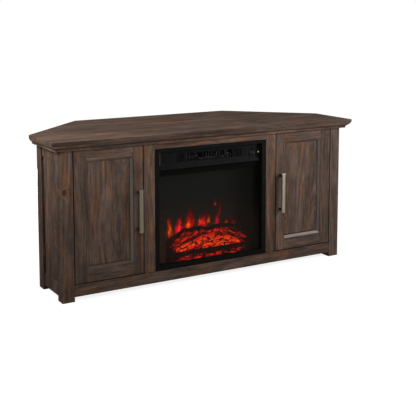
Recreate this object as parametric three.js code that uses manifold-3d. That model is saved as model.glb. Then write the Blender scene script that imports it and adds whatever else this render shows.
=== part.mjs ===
// A corner television stand: two cupboards on either side of an electric fireplace insert.
// Millimetres, +Z up. The origin is on the floor under the middle of the top, and the front faces -Y.
import * as THREE from 'three';
import { mergeVertices } from 'three/addons/utils/BufferGeometryUtils.js';
import Module from 'manifold-3d';

const wasm = await Module();
wasm.setup();

// Sizes of the top, in plan a rectangle whose two back corners are cut off at 45 degrees
const TOP_WIDTH = 1213;
const TOP_END_DEPTH = 223;
const TOP_BAND = 12;
const CORE_THICKNESS = 21.3;
const STAND_HEIGHT = 538;
const FRONT_OVERHANG = 30;
const END_OVERHANG = 35.4;
const BACK_OVERHANG = 7.5;

// The shaped strip under the top's front and end edges
const MOULDING_WIDTH = 29;
const MOULDING_STEP = 2.5;
const MOULDING_FILLET = 3.2;
const MOULDING_SHOULDER = 1.6;
const MOULDING_FOOT_INSET = 16.5;
const MOULDING_FOOT = 3.6;
const MOULDING_CURVE_STEPS = 6;

// The gap left between neighbouring pieces, and how far a cutting solid runs past what it cuts
const FIT_GAP = 0.3;
const CUT_OVERRUN = 2;

// Legs and the front frame
const LEG_WIDTH = 43.5;
const LEG_DEPTH = 40.6;
const BACK_LEG_THICKNESS = 30;
const FRAME_THICKNESS = 20;
const FRONT_RAIL_HEIGHT = 40.5;
const FRONT_RAIL_CLEARANCE = 16.1;
const FRONT_TOP_RAIL_HEIGHT = 20.1;
const FIRE_OPENING_WIDTH = 460;
const CENTRE_STILE_WIDTH = 42.4;

// Ends: one board with a rail standing proud of it at the top and at the bottom
const END_RAIL_INSET = 5.5;
const END_PANEL_INSET = 9.8;
const END_BOARD_THICKNESS = 12;
const END_RAIL_HEIGHT = 44;
const END_RAIL_CLEARANCE = 13;
const END_TOP_RAIL_HEIGHT = 40;

// Boards of the carcase
const BOARD_THICKNESS = 15;
const PARTITION_OFFSET = 6;
const BACK_LEG_SPREAD = 30.4;
const DIAGONAL_PANEL_THICKNESS = 12;
const BACK_PANEL_THICKNESS = 5;
const BACK_PANEL_INSET = 3;
const SHELF_HEIGHT_SHARE = 0.48;
const SHELF_SETBACK = 4;
const CABLE_HOLE_RADIUS = 25;
const LOWER_CABLE_HOLE_RISE = 68;
const UPPER_CABLE_HOLE_DROP = 75;
const CORD_WINDOW_WIDTH = 190;
const CORD_WINDOW_HEIGHT = 96;
const CORD_WINDOW_RISE = 18;
const VENT_SLOT_WIDTH = 9;
const VENT_SLOT_HEIGHT = 70;
const VENT_SLOT_DROP = 42;
const VENT_SLOT_PITCH = 36;
const VENT_SLOT_COUNT = 9;

// Doors: a frame whose inner edge slopes down to a flat panel
const DOOR_GAP = 2.3;
const DOOR_THICKNESS = 18;
const HINGE_STILE_WIDTH = 44.5;
const HANDLE_STILE_WIDTH = 37.2;
const DOOR_TOP_RAIL_HEIGHT = 34;
const DOOR_BOTTOM_RAIL_HEIGHT = 43;
const BEVEL_WIDTH = 8.5;
const BEVEL_DEPTH = 7;
const DOOR_PANEL_THICKNESS = 6;

// Door handles: a flat bar on two posts
const HANDLE_LENGTH = 148;
const HANDLE_WIDTH = 13.6;
const HANDLE_BAR_THICKNESS = 7;
const HANDLE_REACH = 25;
const HANDLE_POST_WIDTH = 9;
const HANDLE_POST_INSET = 11;

// Concealed hinges: a cup and its flange in the door, an arm and its plate on the leg
const CUP_RADIUS = 17.2;
const CUP_DEPTH = 11.8;
const CUP_EDGE = 4.6;
const CUP_CLEARANCE = 0.4;
const CUP_FLANGE_WIDTH = 34;
const CUP_FLANGE_HEIGHT = 60;
const CUP_FLANGE_THICKNESS = 1.5;
const HINGE_FROM_DOOR_END = 72;
const HINGE_ARM_LENGTH = 31;
const HINGE_ARM_HEIGHT = 15;
const HINGE_ARM_DEPTH = 13;
const HINGE_PLATE_THICKNESS = 3;
const HINGE_PLATE_HEIGHT = 44;
const HINGE_PLATE_DEPTH = 18;

// Fireplace insert: the front trim with the recess that it lines
const INSERT_GAP = 1;
const INSERT_SETBACK = 0.8;
const TRIM_SIDE = 16.7;
const TRIM_TOP = 12.4;
const TRIM_BOTTOM = 16;
const TRIM_THICKNESS = 2;
const RECESS_DEPTH = 20;
const HEADER_HEIGHT = 64.5;
const HEADER_THICKNESS = 2;
const LIP_HEIGHT = 17.5;
const LIP_REACH = 8;
const LIP_NOSE = 3;
const OUTLET_WIDTH = 196;
const OUTLET_HEIGHT = 31;
const OUTLET_SILL = 4;
const SIDE_SLOT_WIDTH = 3.2;
const SIDE_SLOT_PITCH = 8;
const SIDE_SLOT_COUNT = 4;
const GRILLE_SETBACK = 0.5;
const GRILLE_DEPTH = 5;
const GRILLE_FRAME = 2.2;
const GRILLE_FIN = 1.2;
const GRILLE_FIN_COUNT = 15;
const GRILLE_BAR = 3;
const GRILLE_BAR_DROP = 5.5;
const GLASS_THICKNESS = 4;
const GLASS_LAP = 6;

// Rocker switches and the indicator lamp beside the outlet
const ROCKER_WIDTH = 9.6;
const ROCKER_HEIGHT = 22.8;
const ROCKER_PROUD = 3.2;
const ROCKER_DIP = 1.7;
const ROCKER_BACK = 4;
const ROCKER_TAPER = 2.4;
const ROCKER_SIDE_CLEARANCE = 0.5;
const ROCKER_END_CLEARANCE = 1;
const ROCKER_SPACING = 11.6;
const ROCKERS_FROM_LAMP = 27.5;
const ROCKER_TILT = THREE.MathUtils.degToRad(8);
const LAMP_FROM_HEADER_END = 5.5;
const LAMP_RADIUS = 2.6;
const LAMP_PROUD = 1.4;
const LAMP_STEM = 4;
const LAMP_BELOW_SWITCH = 5.5;

// The insert's metal box
const BOX_SIDE_CLEARANCE = 6.5;
const BOX_DEPTH = 140;
const BOX_WALL = 2;
const DIVIDER_SETBACK = 4;
const BOX_VENT_WIDTH = 60;
const BOX_VENT_HEIGHT = 6;
const BOX_VENT_PITCH = 15;
const BOX_VENT_FROM_MIDDLE = 60;
const BOX_VENT_HEIGHT_SHARE = 0.6;
const BOX_VENT_COUNT = 6;
const BEARING_WIDTH = 26;
const BEARING_HEIGHT = 36;

// Heater and blower in the upper chamber
const HEATER_WIDTH = 192;
const HEATER_DEPTH = 11;
const HEATER_HEIGHT = 40;
const HEATER_FROM_HEADER = 14;
const HEATER_FRAME = 3;
const HEATER_FIN = 1.4;
const HEATER_FIN_COUNT = 16;
const BLOWER_LENGTH = 180;
const BLOWER_RADIUS = 19;
const BLOWER_HUB_RADIUS = 13;
const BLOWER_SHAFT_RADIUS = 3;
const BLOWER_SHAFT_STUB = 7;
const BLOWER_FROM_HEADER = 57;
const BLOWER_BLADE_COUNT = 20;
const BLOWER_BLADE_SHARE = 0.4;
const BLOWER_MOTOR_RADIUS = 17;
const BLOWER_MOTOR_LENGTH = 34;
const BLOWER_MOTOR_FOOT_DEPTH = 20;
const BLOWER_MOTOR_FOOT_INSET = 4;

// Flame effect in the lower chamber: logs, screen, and the turning spindle behind it
const LOG_BED_WIDTH = 322;
const LOG_BED_OFFSET = 8;
const LOG_BED_DEPTH = 44;
const LOG_BED_HEIGHT = 84;
const LOG_BED_FROM_GLASS = 3;
const LOG_THICKNESS = 38;
// The bed's section as shares of its depth and height, from its front foot round to its front lip
const BED_SECTION_SHARES = [
  [0, 0], [1, 0], [1, 1], [0.55, 0.98], [0.2, 0.62], [0.14, 0.5], [0.06, 0.44],
];
// Log ends as shares of the bed's width, depth and height, with a share of the log thickness
const LOG_SHARES = [
  { from: [0.02, 0.62, 0.9], to: [0.55, 0.7, 1.2], thickness: 1 },
  { from: [0.4, 0.66, 1.2], to: [0.98, 0.62, 0.86], thickness: 0.95 },
  { from: [0.12, 0.3, 0.62], to: [0.5, 0.6, 1.12], thickness: 0.72 },
  { from: [0.9, 0.3, 0.6], to: [0.48, 0.58, 1.1], thickness: 0.7 },
];
const SCREEN_FROM_LOGS = 5;
const SCREEN_THICKNESS = 3;
const SPINDLE_RADIUS = 3.5;
const SPINDLE_SWEEP = 21;
const SPINDLE_FROM_SCREEN = 27;
const SPINDLE_Z = 52;
const FLAG_COUNT = 13;
const FLAG_WIDTH = 15;
const FLAG_THICKNESS = 1.2;
const FLAG_TURN = THREE.MathUtils.degToRad(55);
const SPINDLE_MOTOR_LENGTH = 38;
const SPINDLE_MOTOR_RADIUS = 16;

// The bush where the mains lead comes out of the box
const INLET_X = 165;
const INLET_Z = 40;
const INLET_BARREL_RADIUS = 6.6;
const INLET_FLANGE_RADIUS = 10;
const INLET_FLANGE_THICKNESS = 2.6;
const INLET_BOSS_RADIUS = 7.4;
const INLET_TIP_RADIUS = 5.6;
const INLET_BORE_RADIUS = 3.4;
const INLET_BOSS_LENGTH = 15;
const INLET_INNER_LENGTH = 6;

// How finely round pieces are faceted
const ROUND_SIDES = 24;
const SMALL_ROUND_SIDES = 16;
const LOG_SIDES = 9;

// Levels and lines worked out from the sizes above
const topHalf = TOP_WIDTH / 2;
const fireHalf = FIRE_OPENING_WIDTH / 2;
const partitionInner = fireHalf + PARTITION_OFFSET;
const partitionOuter = partitionInner + BOARD_THICKNESS;
const backLegInner = partitionOuter + BACK_LEG_SPREAD;
const backCorner = backLegInner + LEG_WIDTH;
const topBackHalf = backCorner + BACK_OVERHANG * (Math.SQRT2 - 1);
const topDepth = TOP_END_DEPTH + topHalf - topBackHalf;
const frontEdge = -topDepth / 2;
const backEdge = topDepth / 2;
const bandUnderside = STAND_HEIGHT - TOP_BAND;
const soffit = bandUnderside - CORE_THICKNESS;
const bodyHalf = topHalf - END_OVERHANG;
const bodyFront = frontEdge + FRONT_OVERHANG;
const bodyBack = backEdge - BACK_OVERHANG;
// Along a diagonal side, |x| + y is the same everywhere
const topDiagonal = topHalf + frontEdge + TOP_END_DEPTH;
const bodyDiagonal = insideDiagonal(topDiagonal, BACK_OVERHANG);
const legInner = bodyHalf - LEG_WIDTH;
const endLegBack = bodyDiagonal - bodyHalf;
const endLegFront = endLegBack - LEG_DEPTH;
const railTop = FRONT_RAIL_CLEARANCE + FRONT_RAIL_HEIGHT;
const fireTop = soffit - FRONT_TOP_RAIL_HEIGHT;
const stileOuter = fireHalf + CENTRE_STILE_WIDTH;
const boardTop = soffit - FIT_GAP;
const floorUnderside = railTop - BOARD_THICKNESS;
const endBoardInner = bodyHalf - END_PANEL_INSET - END_BOARD_THICKNESS;
const shelfUnderside = railTop + SHELF_HEIGHT_SHARE * (boardTop - railTop);
const backPanelFront = bodyBack - BACK_PANEL_INSET - BACK_PANEL_THICKNESS;
const panelDiagonalOuter = insideDiagonal(bodyDiagonal, BACK_PANEL_INSET);
const panelDiagonalInner = insideDiagonal(panelDiagonalOuter, DIAGONAL_PANEL_THICKNESS);
const roomDiagonal = insideDiagonal(panelDiagonalInner, FIT_GAP);

// Finishes, one new material for each piece
const walnut = () => material(0x4a3a31, 0.62, 0);
const walnutDark = () => material(0x3a2d27, 0.68, 0);
const hardboard = () => material(0x3b302a, 0.8, 0);
const pullMetal = () => material(0x73705c, 0.38, 0.85);
const hingeMetal = () => material(0xa9abad, 0.32, 0.9);
const blackSheet = () => material(0x121213, 0.5, 0.4);
const blackPlastic = () => material(0x1a1a1b, 0.45, 0);
const smokedGlass = () => material(0x0d0d0e, 0.08, 0);
const bareSteel = () => material(0x8f9092, 0.35, 0.9);
const emberResin = () => material(0x6e1f10, 0.6, 0);
const amberLens = () => material(0xe08a3c, 0.2, 0);

const stand = new THREE.Group();

function material(color, roughness, metalness) {
  return new THREE.MeshStandardMaterial({ color, roughness, metalness });
}

// The |x| + y of a line that lies a distance inside a diagonal side
function insideDiagonal(diagonal, distance) {
  return diagonal - distance * Math.SQRT2;
}

// A closed geometry as a solid that can be joined and cut
function solid(geometry) {
  const bare = geometry.clone();
  bare.deleteAttribute('normal');
  bare.deleteAttribute('uv');
  const merged = mergeVertices(bare);
  const vertProperties = merged.attributes.position.array;
  const triVerts = new Uint32Array(merged.index.array);
  return new wasm.Manifold(new wasm.Mesh({ numProp: 3, vertProperties, triVerts }));
}

function geometryOf(body) {
  const { vertProperties, triVerts } = body.getMesh();
  const geometry = new THREE.BufferGeometry();
  geometry.setAttribute('position', new THREE.BufferAttribute(vertProperties, 3));
  geometry.setIndex(new THREE.BufferAttribute(triVerts, 1));
  geometry.computeVertexNormals();
  return geometry;
}

function joined(first, ...others) {
  const body = others.reduce((sum, other) => sum.add(solid(other)), solid(first));
  return geometryOf(body);
}

function cut(first, ...others) {
  const body = others.reduce((rest, other) => rest.subtract(solid(other)), solid(first));
  return geometryOf(body);
}

function common(first, second) {
  return geometryOf(solid(first).intersect(solid(second)));
}

// A named piece, added to the group that carries it
function place(parent, name, finish, geometry, [x, y, z] = [0, 0, 0]) {
  const mesh = new THREE.Mesh(geometry, finish());
  mesh.name = name;
  mesh.position.set(x, y, z);
  parent.add(mesh);
  return mesh;
}

// A block between two values on each axis, given in either order
function block([x0, x1], [y0, y1], [z0, z1]) {
  const geometry = new THREE.BoxGeometry(Math.abs(x1 - x0), Math.abs(y1 - y0), Math.abs(z1 - z0));
  return geometry.translate((x0 + x1) / 2, (y0 + y1) / 2, (z0 + z1) / 2);
}

function placeBlock(parent, name, finish, xs, ys, zs) {
  const centre = [xs, ys, zs].map(([low, high]) => (low + high) / 2);
  const geometry = block(xs, ys, zs).translate(...centre.map((value) => -value));
  return place(parent, name, finish, geometry, centre);
}

function outline(points) {
  return new THREE.Shape(points.map(([x, y]) => new THREE.Vector2(x, y)));
}

// An outline in plan, extruded upwards from low to high
function planPrism(points, low, high) {
  const settings = { depth: high - low, bevelEnabled: false };
  return new THREE.ExtrudeGeometry(outline(points), settings).translate(0, 0, low);
}

// An outline in front view, extruded backwards from front to back
function frontPrism(points, front, back) {
  const settings = { depth: back - front, bevelEnabled: false };
  return new THREE.ExtrudeGeometry(outline(points), settings).rotateX(Math.PI / 2).translate(0, back, 0);
}

// A section of [y, z] points, extruded along X from left to right
function sidePrism(points, left, right) {
  const axes = new THREE.Matrix4().makeBasis(
    new THREE.Vector3(0, 1, 0), new THREE.Vector3(0, 0, 1), new THREE.Vector3(1, 0, 0),
  );
  const settings = { depth: right - left, bevelEnabled: false };
  return new THREE.ExtrudeGeometry(outline(points), settings).applyMatrix4(axes).translate(left, 0, 0);
}

// A round bar along X between two ends
function barAlongX(radius, left, right, sides = SMALL_ROUND_SIDES) {
  const bar = new THREE.CylinderGeometry(radius, radius, right - left, sides).rotateZ(Math.PI / 2);
  return bar.translate((left + right) / 2, 0, 0);
}

// A round bar along Y between two ends
function barAlongY(radius, front, back, sides = ROUND_SIDES) {
  return new THREE.CylinderGeometry(radius, radius, back - front, sides).translate(0, (front + back) / 2, 0);
}

// Evenly spaced places, centred on zero
function evenly(count, pitch) {
  return Array.from({ length: count }, (_, index) => (index - (count - 1) / 2) * pitch);
}

function sideName(side) {
  return side < 0 ? 'left' : 'right';
}

// The top's outline, with its front and ends drawn in by an inset and its back sides where they are
function topOutline(inset) {
  const end = topHalf - inset;
  const front = frontEdge + inset;
  return [
    [-end, front], [end, front], [end, topDiagonal - end], [topBackHalf, backEdge],
    [-topBackHalf, backEdge], [-end, topDiagonal - end],
  ];
}

// One board: the square-edged band, and the core under it that the mouldings surround
function addTopBoard() {
  const band = planPrism(topOutline(0), bandUnderside, STAND_HEIGHT);
  const core = planPrism(topOutline(MOULDING_WIDTH + FIT_GAP), soffit, bandUnderside + CUT_OVERRUN);
  place(stand, 'top_board', walnut, joined(band, core));
}

// The moulding's section: x is the inset from the top's edge, y the height under the band
function mouldingSection() {
  const section = new THREE.Shape();
  const curveTop = -MOULDING_FILLET;
  const curveFoot = MOULDING_FOOT - CORE_THICKNESS;
  const shoulder = MOULDING_STEP + MOULDING_SHOULDER;
  const bend = (curveTop - curveFoot) / 2;
  section.moveTo(MOULDING_WIDTH, -FIT_GAP);
  section.lineTo(MOULDING_STEP, -FIT_GAP);
  section.lineTo(MOULDING_STEP, curveTop);
  section.lineTo(shoulder, curveTop);
  section.bezierCurveTo(
    shoulder, curveTop - bend, MOULDING_FOOT_INSET, curveFoot + bend, MOULDING_FOOT_INSET, curveFoot,
  );
  section.lineTo(MOULDING_FOOT_INSET, -CORE_THICKNESS);
  section.lineTo(MOULDING_WIDTH, -CORE_THICKNESS);
  section.closePath();
  return section;
}

// The section run from one end to the other, where each end's place follows the inset, as a mitre does
function mitredStrip(startAt, endAt, toWorld) {
  const settings = { depth: TOP_WIDTH, bevelEnabled: false, curveSegments: MOULDING_CURVE_STEPS };
  const geometry = new THREE.ExtrudeGeometry(mouldingSection(), settings);
  const position = geometry.attributes.position;
  for (let index = 0; index < position.count; index += 1) {
    const inset = position.getX(index);
    const share = position.getZ(index) / TOP_WIDTH;
    const along = startAt(inset) * (1 - share) + endAt(inset) * share;
    position.setXYZ(index, ...toWorld(inset, along), bandUnderside + position.getY(index));
  }
  geometry.computeVertexNormals();
  return geometry;
}

function addMouldings() {
  const mitre = (inset) => topHalf - inset - FIT_GAP;
  const front = mitredStrip(
    (inset) => -mitre(inset), mitre, (inset, along) => [along, frontEdge + inset],
  );
  place(stand, 'moulding_front', walnut, front);
  const frontEnd = (inset) => frontEdge + inset + FIT_GAP;
  const backEnd = (inset) => frontEdge + TOP_END_DEPTH + inset;
  const left = mitredStrip(backEnd, frontEnd, (inset, along) => [inset - topHalf, along]);
  place(stand, 'moulding_left', walnut, left);
  const right = mitredStrip(frontEnd, backEnd, (inset, along) => [topHalf - inset, along]);
  place(stand, 'moulding_right', walnut, right);
}

// A leg at each blunt back corner, square to both of the sides that meet there
function backLegOutline(side) {
  const diagonalRun = LEG_WIDTH / Math.SQRT2;
  const inward = BACK_LEG_THICKNESS / Math.SQRT2;
  const points = [
    [backLegInner, bodyBack], [backCorner, bodyBack],
    [backCorner + diagonalRun, bodyBack - diagonalRun],
    [backCorner + diagonalRun - inward, bodyBack - diagonalRun - inward],
    [backLegInner, bodyBack - BACK_LEG_THICKNESS],
  ];
  return points.map(([x, y]) => [side * x, y]);
}

function addLegs(side) {
  const xs = [side * legInner, side * bodyHalf];
  const zs = [0, boardTop];
  const name = sideName(side);
  placeBlock(stand, `leg_front_${name}`, walnut, xs, [bodyFront, bodyFront + LEG_DEPTH], zs);
  placeBlock(stand, `leg_end_${name}`, walnut, xs, [endLegFront, endLegBack], zs);
  place(stand, `leg_back_${name}`, walnut, planPrism(backLegOutline(side), 0, boardTop));
}

// The end board, with its rails standing proud, fills the space between the two legs of its end
function addEndPanel(side) {
  const railFace = bodyHalf - END_RAIL_INSET;
  const panelFace = bodyHalf - END_PANEL_INSET;
  const lowRailTop = END_RAIL_CLEARANCE + END_RAIL_HEIGHT;
  const highRailFoot = boardTop - END_TOP_RAIL_HEIGHT;
  const points = [
    [endBoardInner, END_RAIL_CLEARANCE], [railFace, END_RAIL_CLEARANCE],
    [railFace, lowRailTop], [panelFace, lowRailTop],
    [panelFace, highRailFoot], [railFace, highRailFoot],
    [railFace, boardTop], [endBoardInner, boardTop],
  ].map(([x, z]) => [side * x, z]);
  const front = bodyFront + LEG_DEPTH + FIT_GAP;
  const board = frontPrism(points, front, endLegFront - FIT_GAP);
  place(stand, `end_panel_${sideName(side)}`, walnut, board);
}

function addFrontRails() {
  const ys = [bodyFront, bodyFront + FRAME_THICKNESS];
  const lowHalf = legInner - FIT_GAP;
  placeBlock(stand, 'front_rail_bottom', walnut, [-lowHalf, lowHalf], ys, [FRONT_RAIL_CLEARANCE, railTop]);
  const highHalf = fireHalf - FIT_GAP;
  placeBlock(stand, 'front_rail_top', walnut, [-highHalf, highHalf], ys, [fireTop, boardTop]);
}

function addCentreStile(side) {
  const ys = [bodyFront, bodyFront + FRAME_THICKNESS];
  const zs = [railTop + FIT_GAP, boardTop];
  const xs = [side * fireHalf, side * stileOuter];
  placeBlock(stand, `front_stile_${sideName(side)}`, walnut, xs, ys, zs);
}

function addPartition(side) {
  const ys = [bodyFront + FRAME_THICKNESS + FIT_GAP, backPanelFront - FIT_GAP];
  const zs = [railTop + FIT_GAP, boardTop];
  const xs = [side * partitionInner, side * partitionOuter];
  placeBlock(stand, `partition_${sideName(side)}`, walnutDark, xs, ys, zs);
}

// Half of a board's outline from the front to the back leg, round the end leg and along the diagonal
function boardEdge(front) {
  const legSide = legInner - FIT_GAP;
  const boardSide = endBoardInner - FIT_GAP;
  const backLegFront = bodyBack - (LEG_WIDTH + BACK_LEG_THICKNESS) / Math.SQRT2 - FIT_GAP;
  const frontLegBack = bodyFront + LEG_DEPTH + FIT_GAP;
  const start = front < frontLegBack
    ? [[legSide, front], [legSide, frontLegBack], [boardSide, frontLegBack]]
    : [[boardSide, front]];
  return [
    ...start,
    [boardSide, endLegFront - FIT_GAP], [legSide, endLegFront - FIT_GAP],
    [legSide, roomDiagonal - legSide], [roomDiagonal - backLegFront, backLegFront],
  ];
}

function addFloorPanel() {
  const edge = boardEdge(bodyFront + FRAME_THICKNESS + FIT_GAP);
  const backLegSide = backLegInner - FIT_GAP;
  const [, notch] = edge.at(-1);
  const half = [...edge, [backLegSide, notch], [backLegSide, backPanelFront - FIT_GAP]];
  const mirrored = half.map(([x, y]) => [-x, y]).reverse();
  place(stand, 'floor_panel', walnutDark, planPrism([...half, ...mirrored], floorUnderside, railTop));
}

function addShelf(side) {
  const edge = boardEdge(bodyFront + LEG_DEPTH + SHELF_SETBACK);
  const inner = partitionOuter + FIT_GAP;
  const [, front] = edge[0];
  const [, back] = edge.at(-1);
  const points = [[inner, front], ...edge, [inner, back]].map(([x, y]) => [side * x, y]);
  const board = planPrism(points, shelfUnderside, shelfUnderside + BOARD_THICKNESS);
  place(stand, `shelf_${sideName(side)}`, walnutDark, board);
}

// The cupboard's slanted back runs from the end leg's back face to the back leg, with two cable holes
function addDiagonalPanel(side) {
  const legFace = endLegBack + FIT_GAP;
  const run = LEG_WIDTH / Math.SQRT2 + FIT_GAP;
  // Points on the back leg's face lie on a line where x - y is the same
  const faceDifference = backCorner + run - (bodyBack - run);
  const onFace = (diagonal) => [(diagonal + faceDifference) / 2, (diagonal - faceDifference) / 2];
  const points = [
    [panelDiagonalInner - legFace, legFace], [panelDiagonalOuter - legFace, legFace],
    onFace(panelDiagonalOuter), onFace(panelDiagonalInner),
  ];
  const board = planPrism(points.map(([x, y]) => [side * x, y]), floorUnderside, boardTop);
  const middle = [0, 1].map((axis) => points.reduce((sum, point) => sum + point[axis], 0) / points.length);
  const reach = DIAGONAL_PANEL_THICKNESS + CUT_OVERRUN;
  const hole = (z) => barAlongY(CABLE_HOLE_RADIUS, -reach, reach)
    .rotateZ(-side * Math.PI / 4).translate(side * middle[0], middle[1], z);
  const panel = cut(board, hole(railTop + LOWER_CABLE_HOLE_RISE), hole(soffit - UPPER_CABLE_HOLE_DROP));
  place(stand, `back_panel_${sideName(side)}`, walnutDark, panel);
}

// The thin panel behind the fireplace, with air slots and a window for the mains lead
function addCentreBack() {
  const half = backLegInner - FIT_GAP;
  const back = backPanelFront + BACK_PANEL_THICKNESS;
  const ys = [backPanelFront - CUT_OVERRUN, back + CUT_OVERRUN];
  const board = block([-half, half], [backPanelFront, back], [floorUnderside, boardTop]);
  const windowHalf = CORD_WINDOW_WIDTH / 2;
  const windowFoot = railTop + CORD_WINDOW_RISE;
  const window = block([-windowHalf, windowHalf], ys, [windowFoot, windowFoot + CORD_WINDOW_HEIGHT]);
  const slotTop = soffit - VENT_SLOT_DROP;
  const slots = evenly(VENT_SLOT_COUNT, VENT_SLOT_PITCH).map((x) => block(
    [x - VENT_SLOT_WIDTH / 2, x + VENT_SLOT_WIDTH / 2], ys, [slotTop - VENT_SLOT_HEIGHT, slotTop],
  ));
  place(stand, 'back_panel_centre', hardboard, cut(board, window, ...slots));
}

// Doors are built in a group whose origin is the hinge line's foot; "across" runs towards the handle
const doorWidth = legInner - stileOuter - 2 * DOOR_GAP;
const doorHeight = soffit - railTop - 2 * DOOR_GAP;
const doorFoot = railTop + DOOR_GAP;
const doorFarFlat = doorWidth - HANDLE_STILE_WIDTH;
const doorHighFlat = doorHeight - DOOR_TOP_RAIL_HEIGHT;

// The sunk part of the door's face: wide at the front, and narrower by the bevel at its depth
function doorRecess(side) {
  const geometry = new THREE.BoxGeometry(doorWidth, DOOR_THICKNESS, doorHeight);
  const position = geometry.attributes.position;
  const slope = BEVEL_WIDTH / BEVEL_DEPTH;
  for (let index = 0; index < position.count; index += 1) {
    const deep = position.getY(index) > 0;
    const y = deep ? BEVEL_DEPTH + CUT_OVERRUN : -CUT_OVERRUN;
    const inset = y * slope;
    const across = position.getX(index) < 0 ? HINGE_STILE_WIDTH + inset : doorFarFlat - inset;
    const z = position.getZ(index) < 0 ? DOOR_BOTTOM_RAIL_HEIGHT + inset : doorHighFlat - inset;
    position.setXYZ(index, across, y, z);
  }
  if (side > 0) {
    geometry.scale(-1, 1, 1);
    turnFacesRound(geometry);
  }
  return geometry;
}

function turnFacesRound(geometry) {
  const index = geometry.index.array;
  for (let start = 0; start < index.length; start += 3) {
    [index[start + 1], index[start + 2]] = [index[start + 2], index[start + 1]];
  }
}

// A stile's face outline: full height, with its share of the bevel mitred against the rails
function stileOutline(width) {
  const half = FIT_GAP / 2;
  const bevel = width + BEVEL_WIDTH;
  return [
    [0, 0], [width - half, 0], [width - half, DOOR_BOTTOM_RAIL_HEIGHT + half],
    [bevel, DOOR_BOTTOM_RAIL_HEIGHT + BEVEL_WIDTH + FIT_GAP],
    [bevel, doorHighFlat - BEVEL_WIDTH - FIT_GAP], [width - half, doorHighFlat - half],
    [width - half, doorHeight], [0, doorHeight],
  ];
}

// A rail's face outline, with height measured from the door's own bottom or top edge
function railOutline(height) {
  const half = FIT_GAP / 2;
  const bevelNear = HINGE_STILE_WIDTH + BEVEL_WIDTH + FIT_GAP;
  const bevelFar = doorFarFlat - BEVEL_WIDTH - FIT_GAP;
  return [
    [HINGE_STILE_WIDTH + half, 0], [doorFarFlat - half, 0], [doorFarFlat - half, height - half],
    [bevelFar, height + BEVEL_WIDTH], [bevelNear, height + BEVEL_WIDTH],
    [HINGE_STILE_WIDTH + half, height - half],
  ];
}

function cupCentres() {
  return [HINGE_FROM_DOOR_END, doorHeight - HINGE_FROM_DOOR_END];
}

function addDoor(side) {
  const name = `door_${sideName(side)}`;
  const door = new THREE.Group();
  door.position.set(side * (legInner - DOOR_GAP), bodyFront, doorFoot);
  stand.add(door);
  const facing = (points) => points.map(([across, z]) => [-side * across, z]);
  const member = (points) => cut(frontPrism(facing(points), 0, DOOR_THICKNESS), doorRecess(side));
  const cupAcross = CUP_EDGE + CUP_RADIUS;
  const boreFloor = DOOR_THICKNESS - CUP_DEPTH - CUP_CLEARANCE;
  const bores = cupCentres().map((z) => (
    barAlongY(CUP_RADIUS + CUP_CLEARANCE, boreFloor, DOOR_THICKNESS + CUT_OVERRUN)
      .translate(-side * cupAcross, 0, z)
  ));
  const hingeStile = cut(member(stileOutline(HINGE_STILE_WIDTH)), ...bores);
  place(door, `${name}_hinge_stile`, walnut, hingeStile);
  const fromFar = ([across, z]) => [doorWidth - across, z];
  place(door, `${name}_handle_stile`, walnut, member(stileOutline(HANDLE_STILE_WIDTH).map(fromFar)));
  place(door, `${name}_rail_bottom`, walnut, member(railOutline(DOOR_BOTTOM_RAIL_HEIGHT)));
  const fromTop = ([across, z]) => [across, doorHeight - z];
  place(door, `${name}_rail_top`, walnut, member(railOutline(DOOR_TOP_RAIL_HEIGHT).map(fromTop)));
  addDoorPanel(door, name, side);
  addHandle(door, name, side);
  const ends = ['lower', 'upper'];
  cupCentres().forEach((z, index) => {
    addHingeCup(door, `hinge_cup_${sideName(side)}_${ends[index]}`, side, z);
    addHingeArm(`hinge_arm_${sideName(side)}_${ends[index]}`, side, doorFoot + z);
  });
}

function addDoorPanel(door, name, side) {
  const edge = BEVEL_WIDTH + FIT_GAP;
  const xs = [-side * (HINGE_STILE_WIDTH + edge), -side * (doorFarFlat - edge)];
  const ys = [BEVEL_DEPTH, BEVEL_DEPTH + DOOR_PANEL_THICKNESS];
  const zs = [DOOR_BOTTOM_RAIL_HEIGHT + edge, doorHighFlat - edge];
  placeBlock(door, `${name}_panel`, walnut, xs, ys, zs);
}

// The pull stands in the middle of the handle stile's flat face
function addHandle(door, name, side) {
  const middle = doorHeight / 2;
  const half = HANDLE_LENGTH / 2;
  const barBack = HANDLE_BAR_THICKNESS - HANDLE_REACH;
  const barHalf = HANDLE_WIDTH / 2;
  const postHalf = HANDLE_POST_WIDTH / 2;
  const bar = block([-barHalf, barHalf], [-HANDLE_REACH, barBack], [-half, half]);
  const posts = [-1, 1].map((end) => {
    const z = end * (half - HANDLE_POST_INSET);
    const ys = [barBack - HANDLE_BAR_THICKNESS / 2, -FIT_GAP];
    return block([-postHalf, postHalf], ys, [z - postHalf, z + postHalf]);
  });
  const across = doorWidth - HANDLE_STILE_WIDTH / 2;
  place(door, `${name}_handle`, pullMetal, joined(bar, ...posts), [-side * across, 0, middle]);
}

function addHingeCup(door, name, side, z) {
  const flangeFront = DOOR_THICKNESS + FIT_GAP;
  const cup = barAlongY(CUP_RADIUS, DOOR_THICKNESS - CUP_DEPTH, flangeFront + CUP_FLANGE_THICKNESS / 2);
  const half = CUP_FLANGE_WIDTH / 2;
  const flange = block(
    [-half, half], [flangeFront, flangeFront + CUP_FLANGE_THICKNESS],
    [-CUP_FLANGE_HEIGHT / 2, CUP_FLANGE_HEIGHT / 2],
  );
  place(door, name, hingeMetal, joined(cup, flange), [-side * (CUP_EDGE + CUP_RADIUS), 0, z]);
}

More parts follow.
